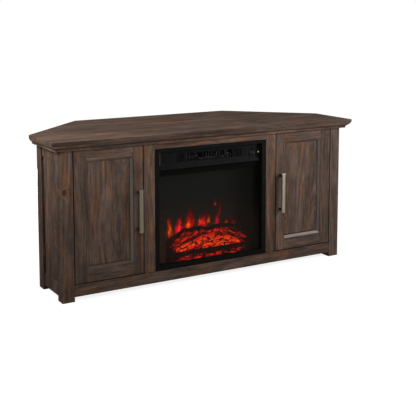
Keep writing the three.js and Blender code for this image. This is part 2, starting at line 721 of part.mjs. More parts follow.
// The arm starts just behind the cup's flange and ends in a plate on the leg's inner face
function addHingeArm(name, side, z) {
  const front = bodyFront + DOOR_THICKNESS + FIT_GAP + CUP_FLANGE_THICKNESS + FIT_GAP;
  const legFace = legInner - FIT_GAP;
  const arm = block(
    [side * legFace, side * (legFace - HINGE_ARM_LENGTH)], [front, front + HINGE_ARM_DEPTH],
    [-HINGE_ARM_HEIGHT / 2, HINGE_ARM_HEIGHT / 2],
  );
  const plate = block(
    [side * legFace, side * (legFace - HINGE_PLATE_THICKNESS)], [front, front + HINGE_PLATE_DEPTH],
    [-HINGE_PLATE_HEIGHT / 2, HINGE_PLATE_HEIGHT / 2],
  );
  place(stand, name, hingeMetal, joined(arm, plate), [0, 0, z]);
}

// The insert is built in a group whose origin is the middle of the trim's lower front edge
const trimHalf = fireHalf - INSERT_GAP;
const trimHeight = fireTop - railTop - INSERT_GAP - FIT_GAP;
const recessHalf = trimHalf - TRIM_SIDE;
const recessTop = trimHeight - TRIM_TOP;
const headerFoot = recessTop - FIT_GAP - HEADER_HEIGHT;
const headerFront = RECESS_DEPTH - HEADER_THICKNESS;
const headerHalf = recessHalf - FIT_GAP;
const glassFront = RECESS_DEPTH + FIT_GAP;
const glassBack = glassFront + GLASS_THICKNESS;
const outletFoot = headerFoot + LIP_HEIGHT + OUTLET_SILL;
const outletMiddle = outletFoot + OUTLET_HEIGHT / 2;
const lampX = headerHalf - LAMP_FROM_HEADER_END;
const lampZ = outletMiddle - LAMP_BELOW_SWITCH;
const grilleFront = headerFront + GRILLE_SETBACK;
const grilleBack = grilleFront + GRILLE_DEPTH;
const boxHalf = fireHalf - BOX_SIDE_CLEARANCE;
const boxHollowHalf = boxHalf - BOX_WALL;
const boxTop = trimHeight - TRIM_TOP / 2;
const boxBackInner = BOX_DEPTH - BOX_WALL;
const dividerTop = headerFoot + LIP_HEIGHT;
const dividerFront = glassBack + DIVIDER_SETBACK;
const blowerY = RECESS_DEPTH + BLOWER_FROM_HEADER;
const blowerZ = (dividerTop + boxTop - BOX_WALL) / 2;
const blowerHalf = BLOWER_LENGTH / 2;
const bearingFace = -blowerHalf - BLOWER_SHAFT_STUB - FIT_GAP;
const logsFront = glassBack + LOG_BED_FROM_GLASS;
const screenFront = logsFront + LOG_BED_DEPTH + SCREEN_FROM_LOGS;
const spindleY = screenFront + SCREEN_THICKNESS + SPINDLE_FROM_SCREEN;

// The flat trim, and the walls that line the recess behind it
function addInsertTrim(insert) {
  const ring = (half, low, high, wall, front, back) => cut(
    block([-half - wall, half + wall], [front, back], [low - wall, high + wall]),
    block([-half, half], [front - CUT_OVERRUN, back + CUT_OVERRUN], [low, high]),
  );
  const lining = ring(recessHalf, TRIM_BOTTOM, recessTop, TRIM_THICKNESS, TRIM_THICKNESS / 2, RECESS_DEPTH);
  const flange = cut(
    block([-trimHalf, trimHalf], [0, TRIM_THICKNESS], [0, trimHeight]),
    block([-recessHalf, recessHalf], [-CUT_OVERRUN, TRIM_THICKNESS + CUT_OVERRUN], [TRIM_BOTTOM, recessTop]),
  );
  place(insert, 'insert_trim', blackSheet, joined(flange, lining));
}

// The header plate over the glass: a sloping lip, the warm air outlet, slots, switches and the lamp
function addInsertHeader(insert) {
  const section = [
    [RECESS_DEPTH, headerFoot], [RECESS_DEPTH, recessTop - FIT_GAP], [headerFront, recessTop - FIT_GAP],
    [headerFront, headerFoot + LIP_HEIGHT], [headerFront - LIP_REACH, headerFoot + LIP_NOSE],
    [headerFront - LIP_REACH, headerFoot],
  ];
  const plate = sidePrism(section, -headerHalf, headerHalf);
  const ys = [headerFront - CUT_OVERRUN, RECESS_DEPTH + CUT_OVERRUN];
  const window = (x, z, width, height) => block(
    [x - width / 2, x + width / 2], ys, [z - height / 2, z + height / 2],
  );
  const outlet = window(0, outletMiddle, OUTLET_WIDTH, OUTLET_HEIGHT);
  const slots = [-1, 1].flatMap((side) => Array.from({ length: SIDE_SLOT_COUNT }, (_, index) => {
    const x = side * (OUTLET_WIDTH / 2 + (index + 1) * SIDE_SLOT_PITCH);
    return window(x, outletMiddle, SIDE_SLOT_WIDTH, OUTLET_HEIGHT);
  }));
  const rockerHole = (x) => window(
    x, outletMiddle, ROCKER_WIDTH + 2 * ROCKER_SIDE_CLEARANCE, ROCKER_HEIGHT + 2 * ROCKER_END_CLEARANCE,
  );
  const rockers = rockerPlaces().map(rockerHole);
  const lampHole = barAlongY(LAMP_RADIUS + FIT_GAP, ys[0], ys[1], SMALL_ROUND_SIDES)
    .translate(lampX, 0, lampZ);
  place(insert, 'insert_header', blackPlastic, cut(plate, outlet, ...slots, ...rockers, lampHole));
}

function rockerPlaces() {
  return evenly(2, ROCKER_SPACING).map((offset) => lampX - ROCKERS_FROM_LAMP + offset);
}

// Upright fins and one level bar inside the outlet
function addOutletGrille(insert) {
  const half = OUTLET_WIDTH / 2 - FIT_GAP;
  const halfHeight = OUTLET_HEIGHT / 2 - FIT_GAP;
  const through = [grilleFront - CUT_OVERRUN, grilleBack + CUT_OVERRUN];
  const frame = cut(
    block([-half, half], [grilleFront, grilleBack], [-halfHeight, halfHeight]),
    block(
      [GRILLE_FRAME - half, half - GRILLE_FRAME], through,
      [GRILLE_FRAME - halfHeight, halfHeight - GRILLE_FRAME],
    ),
  );
  const reach = halfHeight - GRILLE_FRAME / 2;
  const finYs = [grilleFront + GRILLE_FIN, grilleBack - GRILLE_FIN];
  const fins = evenly(GRILLE_FIN_COUNT, OUTLET_WIDTH / (GRILLE_FIN_COUNT + 1)).map((x) => block(
    [x - GRILLE_FIN / 2, x + GRILLE_FIN / 2], finYs, [-reach, reach],
  ));
  const barReach = half - GRILLE_FRAME / 2;
  const barTop = GRILLE_BAR / 2 - GRILLE_BAR_DROP;
  const bar = block([-barReach, barReach], [grilleFront, grilleBack], [barTop - GRILLE_BAR, barTop]);
  place(insert, 'outlet_grille', blackSheet, joined(frame, bar, ...fins), [0, 0, outletMiddle]);
}

function addGlass(insert) {
  const half = recessHalf + GLASS_LAP;
  const zs = [TRIM_BOTTOM - GLASS_LAP, dividerTop - FIT_GAP];
  placeBlock(insert, 'insert_glass', smokedGlass, [-half, half], [glassFront, glassBack], zs);
}

// A switch key with a shallow V face, tipped about its pivot so that its upper half is pressed
function addRocker(insert, name, x) {
  const half = ROCKER_HEIGHT / 2;
  const section = [
    [-ROCKER_PROUD, half], [-ROCKER_DIP, 0], [-ROCKER_PROUD, -half],
    [0, -half], [ROCKER_BACK, ROCKER_TAPER - half], [ROCKER_BACK, half - ROCKER_TAPER], [0, half],
  ];
  const key = sidePrism(section, -ROCKER_WIDTH / 2, ROCKER_WIDTH / 2);
  const mesh = place(insert, name, blackPlastic, key, [x, headerFront + HEADER_THICKNESS / 2, outletMiddle]);
  mesh.rotation.x = -ROCKER_TILT;
}

function addIndicatorLens(insert) {
  const base = -LAMP_STEM;
  const profile = [
    [0, base], [LAMP_RADIUS, base], [LAMP_RADIUS, 0],
    [LAMP_RADIUS * Math.SQRT1_2, LAMP_PROUD * Math.SQRT1_2], [0, LAMP_PROUD],
  ].map(([radius, height]) => new THREE.Vector2(radius, height));
  const lens = new THREE.LatheGeometry(profile, SMALL_ROUND_SIDES).rotateX(Math.PI);
  place(insert, 'indicator_lens', amberLens, lens, [lampX, headerFront, lampZ]);
}

// The sheet metal box: an upper chamber for heater and blower, a lower one for the flame effect
function addInsertHousing(insert) {
  const front = TRIM_THICKNESS + FIT_GAP;
  const open = front - CUT_OVERRUN;
  const hollow = [-boxHollowHalf, boxHollowHalf];
  const shell = block([-boxHalf, boxHalf], [front, BOX_DEPTH], [0, boxTop]);
  const dividerUnderside = dividerTop - BOX_WALL;
  const lower = block(hollow, [open, boxBackInner], [BOX_WALL, dividerUnderside]);
  const upper = block(hollow, [open, boxBackInner], [dividerTop, boxTop - BOX_WALL]);
  const mouth = block(hollow, [open, dividerFront], [BOX_WALL, boxTop - BOX_WALL]);
  const through = [boxBackInner - CUT_OVERRUN, BOX_DEPTH + CUT_OVERRUN];
  const ventXs = [BOX_VENT_FROM_MIDDLE - BOX_VENT_WIDTH / 2, BOX_VENT_FROM_MIDDLE + BOX_VENT_WIDTH / 2];
  const vents = evenly(BOX_VENT_COUNT, BOX_VENT_PITCH).flatMap((offset) => {
    const foot = BOX_VENT_HEIGHT_SHARE * boxTop + offset - BOX_VENT_HEIGHT / 2;
    const zs = [foot, foot + BOX_VENT_HEIGHT];
    return [-1, 1].map((side) => block(ventXs.map((x) => side * x), through, zs));
  });
  const inletHole = barAlongY(INLET_BARREL_RADIUS + FIT_GAP, through[0], through[1], SMALL_ROUND_SIDES)
    .translate(INLET_X, 0, INLET_Z);
  const box = cut(shell, lower, upper, mouth, ...vents, inletHole);
  const bearing = block(
    [bearingFace - BOX_WALL, bearingFace], [blowerY - BEARING_WIDTH / 2, blowerY + BEARING_WIDTH / 2],
    [dividerUnderside, dividerTop + BEARING_HEIGHT],
  );
  place(insert, 'insert_housing', blackSheet, joined(box, bearing));
}

// An open frame with upright heating fins, standing on the divider
function addHeater(insert) {
  const half = HEATER_WIDTH / 2;
  const front = RECESS_DEPTH + HEATER_FROM_HEADER;
  const back = front + HEATER_DEPTH;
  const foot = dividerTop + FIT_GAP;
  const top = foot + HEATER_HEIGHT;
  const frame = cut(
    block([-half, half], [front, back], [foot, top]),
    block(
      [HEATER_FRAME - half, half - HEATER_FRAME], [front - CUT_OVERRUN, back + CUT_OVERRUN],
      [foot + HEATER_FRAME, top - HEATER_FRAME],
    ),
  );
  const fins = evenly(HEATER_FIN_COUNT, HEATER_WIDTH / (HEATER_FIN_COUNT + 1)).map((x) => block(
    [x - HEATER_FIN / 2, x + HEATER_FIN / 2], [front + HEATER_FIN, back - HEATER_FIN],
    [foot + HEATER_FRAME / 2, top - HEATER_FRAME / 2],
  ));
  place(insert, 'heater_element', bareSteel, joined(frame, ...fins));
}

// The blower's drum: blades round a hub, with a shaft stub at the bearing end
function addBlowerWheel(insert) {
  const turn = 2 * Math.PI / BLOWER_BLADE_COUNT;
  const at = (radius, angle) => [radius * Math.cos(angle), radius * Math.sin(angle)];
  const section = Array.from({ length: BLOWER_BLADE_COUNT }, (_, index) => {
    const start = index * turn;
    const end = start + turn * BLOWER_BLADE_SHARE;
    return [
      at(BLOWER_HUB_RADIUS, start), at(BLOWER_RADIUS, start),
      at(BLOWER_RADIUS, end), at(BLOWER_HUB_RADIUS, end),
    ];
  }).flat();
  const drum = sidePrism(section, -blowerHalf, blowerHalf);
  const stub = barAlongX(BLOWER_SHAFT_RADIUS, -blowerHalf - BLOWER_SHAFT_STUB, CUT_OVERRUN - blowerHalf);
  place(insert, 'blower_wheel', blackPlastic, joined(drum, stub), [0, blowerY, blowerZ]);
}

function addBlowerMotor(insert) {
  const left = blowerHalf + FIT_GAP;
  const right = left + BLOWER_MOTOR_LENGTH;
  const can = barAlongX(BLOWER_MOTOR_RADIUS, left, right);
  const foot = block(
    [left + BLOWER_MOTOR_FOOT_INSET, right - BLOWER_MOTOR_FOOT_INSET],
    [-BLOWER_MOTOR_FOOT_DEPTH / 2, BLOWER_MOTOR_FOOT_DEPTH / 2], [dividerTop + FIT_GAP - blowerZ, 0],
  );
  place(insert, 'blower_motor', bareSteel, joined(can, foot), [0, blowerY, blowerZ]);
}

// The glowing bed and the crossed logs on it, moulded as one piece
function addLogSet(insert) {
  const left = LOG_BED_OFFSET - LOG_BED_WIDTH / 2;
  const right = LOG_BED_OFFSET + LOG_BED_WIDTH / 2;
  const foot = BOX_WALL + FIT_GAP;
  const section = BED_SECTION_SHARES.map(([depth, height]) => [
    logsFront + depth * LOG_BED_DEPTH, foot + height * LOG_BED_HEIGHT,
  ]);
  const bed = sidePrism(section, left, right);
  const corner = new THREE.Vector3(left, logsFront, foot);
  const size = new THREE.Vector3(LOG_BED_WIDTH, LOG_BED_DEPTH, LOG_BED_HEIGHT);
  const logs = LOG_SHARES.map(({ from, to, thickness }) => {
    const start = new THREE.Vector3(...from).multiply(size).add(corner);
    const end = new THREE.Vector3(...to).multiply(size).add(corner);
    return logBetween(start, end, thickness * LOG_THICKNESS / 2);
  });
  const room = block([left, right], [logsFront, logsFront + LOG_BED_DEPTH], [foot, dividerTop - BOX_WALL]);
  place(insert, 'log_set', emberResin, common(joined(bed, ...logs), room));
}

function logBetween(start, end, radius) {
  const run = new THREE.Vector3().subVectors(end, start);
  const log = new THREE.CylinderGeometry(radius, radius, run.length(), LOG_SIDES);
  const upright = new THREE.Vector3(0, 1, 0);
  const turn = new THREE.Quaternion().setFromUnitVectors(upright, run.clone().normalize());
  log.applyQuaternion(turn);
  return log.translate(...start.clone().addScaledVector(run, 1 / 2).toArray());
}

// The pane on which the flames are seen, from wall to wall behind the logs
function addFlameScreen(insert) {
  const half = boxHollowHalf - FIT_GAP;
  const ys = [screenFront, screenFront + SCREEN_THICKNESS];
  const zs = [BOX_WALL + FIT_GAP, dividerTop - BOX_WALL - FIT_GAP];
  placeBlock(insert, 'flame_screen', smokedGlass, [-half, half], ys, zs);
}

// A rod from the box's left wall to its motor, with thin reflecting flags set at turned angles
function addFlameSpindle(insert) {
  const left = FIT_GAP - boxHollowHalf;
  const right = boxHollowHalf - FIT_GAP - SPINDLE_MOTOR_LENGTH - FIT_GAP;
  const rod = barAlongX(SPINDLE_RADIUS, left, right);
  const pitch = (right - left) / (FLAG_COUNT + 1);
  const middle = (left + right) / 2;
  const flags = evenly(FLAG_COUNT, pitch).map((offset, index) => block(
    [-FLAG_WIDTH / 2, FLAG_WIDTH / 2], [-FLAG_THICKNESS / 2, FLAG_THICKNESS / 2],
    [-SPINDLE_SWEEP, SPINDLE_SWEEP],
  ).rotateX(index * FLAG_TURN).translate(middle + offset, 0, 0));
  place(insert, 'flame_spindle', bareSteel, joined(rod, ...flags), [0, spindleY, SPINDLE_Z]);
}

function addSpindleMotor(insert) {
  const right = boxHollowHalf - FIT_GAP;
  const can = barAlongX(SPINDLE_MOTOR_RADIUS, right - SPINDLE_MOTOR_LENGTH, right);
  place(insert, 'spindle_motor', bareSteel, can, [0, spindleY, SPINDLE_Z]);
}

// The bush: a barrel through the box's back wall, a flange outside it and a tapered boss with a bore
function addPowerInlet(insert) {
  const flangeBack = FIT_GAP + INLET_FLANGE_THICKNESS;
  const tip = flangeBack + INLET_BOSS_LENGTH;
  const profile = [
    [0, -INLET_INNER_LENGTH], [INLET_BARREL_RADIUS, -INLET_INNER_LENGTH], [INLET_BARREL_RADIUS, FIT_GAP],
    [INLET_FLANGE_RADIUS, FIT_GAP], [INLET_FLANGE_RADIUS, flangeBack], [INLET_BOSS_RADIUS, flangeBack],
    [INLET_TIP_RADIUS, tip], [INLET_BORE_RADIUS, tip], [INLET_BORE_RADIUS, 0], [0, 0],
  ].map(([radius, height]) => new THREE.Vector2(radius, height));
  const bush = new THREE.LatheGeometry(profile, SMALL_ROUND_SIDES);
  place(insert, 'power_inlet', blackPlastic, bush, [INLET_X, BOX_DEPTH, INLET_Z]);
}

function addInsert() {
  const insert = new THREE.Group();
  insert.position.set(0, bodyFront + INSERT_SETBACK, railTop + FIT_GAP);
  stand.add(insert);
  addInsertTrim(insert);
  addInsertHeader(insert);
  addOutletGrille(insert);
  addGlass(insert);
  const [powerX, heatX] = rockerPlaces();
  addRocker(insert, 'switch_power', powerX);
  addRocker(insert, 'switch_heat', heatX);
  addIndicatorLens(insert);
  addInsertHousing(insert);
  addHeater(insert);
  addBlowerWheel(insert);
  addBlowerMotor(insert);
  addLogSet(insert);
  addFlameScreen(insert);
  addFlameSpindle(insert);
  addSpindleMotor(insert);
  addPowerInlet(insert);
}

addTopBoard();
addMouldings();
addFrontRails();
addFloorPanel();
addCentreBack();
for (const side of [-1, 1]) {
  addLegs(side);
  addEndPanel(side);
  addCentreStile(side);
  addPartition(side);
  addDiagonalPanel(side);
  addShelf(side);
  addDoor(side);
}
addInsert();

export default stand;
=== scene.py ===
"""A corner stand for a television, with a glowing electric fire between its two cupboards.

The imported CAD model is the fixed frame. This script gives its boards, metal and plastic their
finishes, adds the small pieces that the CAD leaves out, and sets a plain studio around them.
All places and sizes are in metres, in the frame of the CAD.
"""

from __future__ import annotations

import logging
import math
import random
from dataclasses import dataclass
from enum import Enum
from typing import Any, Iterable, Iterator, Sequence, Union

import bmesh
import bpy
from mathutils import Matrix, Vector, noise

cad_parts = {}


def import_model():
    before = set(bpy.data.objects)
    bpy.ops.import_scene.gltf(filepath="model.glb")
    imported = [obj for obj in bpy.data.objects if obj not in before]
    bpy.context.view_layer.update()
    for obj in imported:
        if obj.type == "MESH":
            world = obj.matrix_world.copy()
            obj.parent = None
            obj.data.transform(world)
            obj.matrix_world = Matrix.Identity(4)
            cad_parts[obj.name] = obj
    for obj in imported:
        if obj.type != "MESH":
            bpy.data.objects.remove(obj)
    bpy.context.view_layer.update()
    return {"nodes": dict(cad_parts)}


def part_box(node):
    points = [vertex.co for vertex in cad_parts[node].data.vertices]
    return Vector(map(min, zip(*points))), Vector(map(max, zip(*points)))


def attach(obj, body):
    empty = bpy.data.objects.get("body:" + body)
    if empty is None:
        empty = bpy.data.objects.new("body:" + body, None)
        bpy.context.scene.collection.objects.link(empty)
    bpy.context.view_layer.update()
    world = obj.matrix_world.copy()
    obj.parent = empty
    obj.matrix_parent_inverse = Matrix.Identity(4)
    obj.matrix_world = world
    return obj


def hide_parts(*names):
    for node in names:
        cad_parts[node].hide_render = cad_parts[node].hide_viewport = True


LOG = logging.getLogger("stand")

Pair = tuple[float, float]
Triple = tuple[float, float, float]
Socket = bpy.types.NodeSocket
Material = bpy.types.Material
Mesh = bpy.types.Mesh
Piece = bpy.types.Object
Feed = Union[Socket, float, int, Sequence[float]]
Feeds = dict[Union[str, int], Feed]


class Body(Enum):
    """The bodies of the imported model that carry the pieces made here."""

    STAND = "stand"
    DOOR_LEFT = "door_left"
    DOOR_RIGHT = "door_right"


class Slot(Enum):
    """The record's material slots that go with the pieces made here; they are passed along but not used."""

    HINGE_STEEL = "hinge_steel"
    BLACK_SHEET = "black_sheet"
    BLACK_PLASTIC = "black_plastic"
    BARE_STEEL = "bare_steel"
    EMBER_RESIN = "ember_resin"


class Side(Enum):
    """The stand's two sides, by the sign of their X."""

    LEFT = -1
    RIGHT = 1

    @property
    def tag(self) -> str:
        """Returns the side's word in the names of nodes and pieces."""
        return self.name.lower()

    @property
    def door(self) -> Body:
        """Returns the body of the side's door."""
        return Body(f"door_{self.tag}")


class Grain(Enum):
    """The way a board's grain runs, as the turn that brings it onto the figure's X axis."""

    ALONG_X = (0.0, 0.0, 0.0)
    ALONG_Y = (0.0, 0.0, -math.pi / 2)
    ALONG_Z = (0.0, math.pi / 2, 0.0)


UP = (0.0, 0.0, 1.0)
BACKWARD = (0.0, 1.0, 0.0)
FORWARD = (0.0, -1.0, 0.0)


# ---------------------------------------------------------------- writing node trees


class NodeSheet:
    """A node tree that is being written, with short calls for the nodes used most."""

    def __init__(self, tree: bpy.types.NodeTree) -> None:
        """Keeps the tree that the calls write to."""
        self.tree = tree

    def node(self, kind: str, feeds: Feeds | None = None, **settings: object) -> bpy.types.Node:
        """Adds a node.

        Args:
            kind: Blender's name for the kind of node.
            feeds: what goes into its inputs, by input name or number.
            **settings: the node's own settings.

        Returns:
            The new node.
        """
        made = self.tree.nodes.new(kind)
        for name, value in settings.items():
            setattr(made, name, value)
        for key, feed in (feeds or {}).items():
            self.feed(made.inputs[key], feed)
        return made

    def feed(self, socket: Socket, feed: Feed) -> None:
        """Links a socket to another, or sets its own value.

        Args:
            socket: the input to fill.
            feed: an output to link, or a value. A colour may leave out its fourth number.
        """
        if isinstance(feed, Socket):
            self.tree.links.new(feed, socket)
        elif socket.type == "RGBA" and len(feed) == 3:
            socket.default_value = (*feed, 1.0)
        else:
            socket.default_value = feed

    def math(self, operation: str, *feeds: Feed, clamp: bool = False) -> Socket:
        """Returns the result of a Math node on one to three numbers."""
        kind = "ShaderNodeMath"
        return self.node(kind, dict(enumerate(feeds)), operation=operation, use_clamp=clamp).outputs[0]

    def times(self, first: Feed, second: Feed) -> Socket:
        """Returns the product of two numbers."""
        return self.math("MULTIPLY", first, second)

    def vector(self, operation: str, *feeds: Feed) -> Socket:
        """Returns the vector result of a Vector Math node."""
        return self.node("ShaderNodeVectorMath", dict(enumerate(feeds)), operation=operation).outputs[0]

    def scaled(self, vector: Feed, factor: Feed) -> Socket:
        """Returns a vector or colour times a number."""
        return self.node("ShaderNodeVectorMath", {0: vector, "Scale": factor}, operation="SCALE").outputs[0]

    def measure(self, operation: str, *feeds: Feed) -> Socket:
        """Returns the number that a Vector Math node makes of vectors."""
        made = self.node("ShaderNodeVectorMath", dict(enumerate(feeds)), operation=operation)
        return made.outputs["Value"]

    def parts(self, vector: Feed) -> list[Socket]:
        """Returns the three parts of a vector."""
        return list(self.node("ShaderNodeSeparateXYZ", {0: vector}).outputs)

    def joined(self, x: Feed, y: Feed, z: Feed) -> Socket:
        """Returns a vector made of three numbers."""
        return self.node("ShaderNodeCombineXYZ", {0: x, 1: y, 2: z}).outputs[0]

    def noise(
        self, place: Feed, stretch: Triple, detail: float = 2.0, rough: float = 0.5, part: str = "Fac",
    ) -> Socket:
        """Adds a noise whose spots are as large as the stretch makes them.

        Args:
            place: where the noise is read.
            stretch: how many spots there are to the metre along each axis.
            detail: how many finer layers it has.
            rough: how strong the finer layers are.
            part: Fac for one number, or Color for three.

        Returns:
            The noise.
        """
        feeds = {"Vector": self.vector("MULTIPLY", place, stretch), "Scale": 1.0, "Detail": detail}
        return self.node("ShaderNodeTexNoise", {**feeds, "Roughness": rough}).outputs[part]

    def noise_line(self, place: Feed, stretch: float, detail: float) -> Socket:
        """Returns a noise that runs along one number."""
        feeds = {"W": self.times(place, stretch), "Scale": 1.0, "Detail": detail}
        return self.node("ShaderNodeTexNoise", feeds, noise_dimensions="1D").outputs[0]

    def sway(self, place: Feed, stretch: Triple, reach: Triple, detail: float = 2.0) -> Socket:
        """Moves a place about by a noise.

        Args:
            place: the place to move.
            stretch: how many spots the noise has to the metre along each axis.
            reach: how far it moves the place along each axis, from end to end.
            detail: how many finer layers the noise has.

        Returns:
            The moved place.
        """
        centred = self.vector("SUBTRACT", self.noise(place, stretch, detail, part="Color"), (0.5, 0.5, 0.5))
        return self.vector("MULTIPLY_ADD", centred, reach, place)

    def ramp(self, share: Feed, *stops: tuple[float, Triple]) -> Socket:
        """Runs a share through a ramp of colours.

        Args:
            share: the number that picks the colour.
            *stops: places on the ramp and their colours, in rising order.

        Returns:
            The colour.
        """
        made = self.node("ShaderNodeValToRGB", {0: share})
        elements = made.color_ramp.elements
        while len(elements) < len(stops):
            elements.new(1.0)
        for element, (place, colour) in zip(elements, stops):
            element.position = place
            element.color = (*colour, 1.0)
        return made.outputs[0]

    def step(self, value: Feed, low: float, high: float) -> Socket:
        """Writes a soft rise from 0 at low to 1 at high, or a soft fall where low is the larger.

        Args:
            value: the number to judge.
            low: where the result is 0.
            high: where the result is 1.

        Returns:
            The result, from 0 to 1.
        """
        if low > high:
            return self.math("SUBTRACT", 1.0, self.step(value, high, low))
        feeds = {"Value": value, "From Min": low, "From Max": high}
        return self.node("ShaderNodeMapRange", feeds, interpolation_type="SMOOTHSTEP").outputs[0]

    def fit(self, value: Feed, low: float, high: float, least: float, most: float) -> Socket:
        """Returns a value moved from the span low to high onto the span least to most."""
        feeds = {"Value": value, "From Min": low, "From Max": high, "To Min": least, "To Max": most}
        return self.node("ShaderNodeMapRange", feeds).outputs[0]

    def blend(self, share: Feed, first: Feed, second: Feed, how: str = "MIX") -> Socket:
        """Returns two colours mixed by a share."""
        feeds = {0: share, 6: first, 7: second}
        return self.node("ShaderNodeMix", feeds, data_type="RGBA", blend_type=how).outputs[2]


class MaterialSheet(NodeSheet):
    """The nodes of a new material, with its shader and the place on the piece in metres."""

    def __init__(self, name: str, specular: float, metallic: float = 0.0, coat: float = 0.0) -> None:
        """Makes the material.

        Args:
            name: the material's name.
            specular: how strongly it mirrors, the same all over.
            metallic: how metallic it is.
            coat: how much clear coat it has.
        """
        self.material = bpy.data.materials.new(name)
        self.material.use_nodes = True
        super().__init__(self.material.node_tree)
        self.shader = self.tree.nodes["Principled BSDF"]
        self.shade({"Metallic": metallic, "Specular IOR Level": specular, "Coat Weight": coat})
        self.place = self.node("ShaderNodeTexCoord").outputs["Object"]

    def shade(self, feeds: Feeds) -> None:
        """Fills some of the shader's inputs."""
        for name, feed in feeds.items():
            self.feed(self.shader.inputs[name], feed)

    def relief(self, height: Feed, depth: float, strength: float = 1.0) -> None:
        """Gives the surface a relief.

        Args:
            height: the relief's height, from 0 to 1.
            depth: how deep it is, in metres.
            strength: how much of it shows.
        """
        feeds = {"Height": height, "Distance": depth, "Strength": strength}
        self.shade({"Normal": self.node("ShaderNodeBump", feeds).outputs[0]})


def new_group(name: str, kind: str, inputs: dict[str, str], outputs: dict[str, str]) -> bpy.types.NodeTree:
    """Makes an empty node group.

    Args:
        name: the group's name.
        kind: ShaderNodeTree or GeometryNodeTree.
        inputs: its input names with their kinds of socket, as in NodeSocketFloat.
        outputs: its output names with their kinds of socket.

    Returns:
        The group, with its input and output sockets declared.
    """
    tree = bpy.data.node_groups.new(name, kind)
    for direction, sockets in (("INPUT", inputs), ("OUTPUT", outputs)):
        for label, socket in sockets.items():
            tree.interface.new_socket(label, in_out=direction, socket_type=f"NodeSocket{socket}")
    return tree


# ---------------------------------------------------------------- finishes


@dataclass(frozen=True)
class Stain:
    """A tint that shows where a mask rises from low to high."""

    low: float
    high: float
    share: float
    tint: Triple


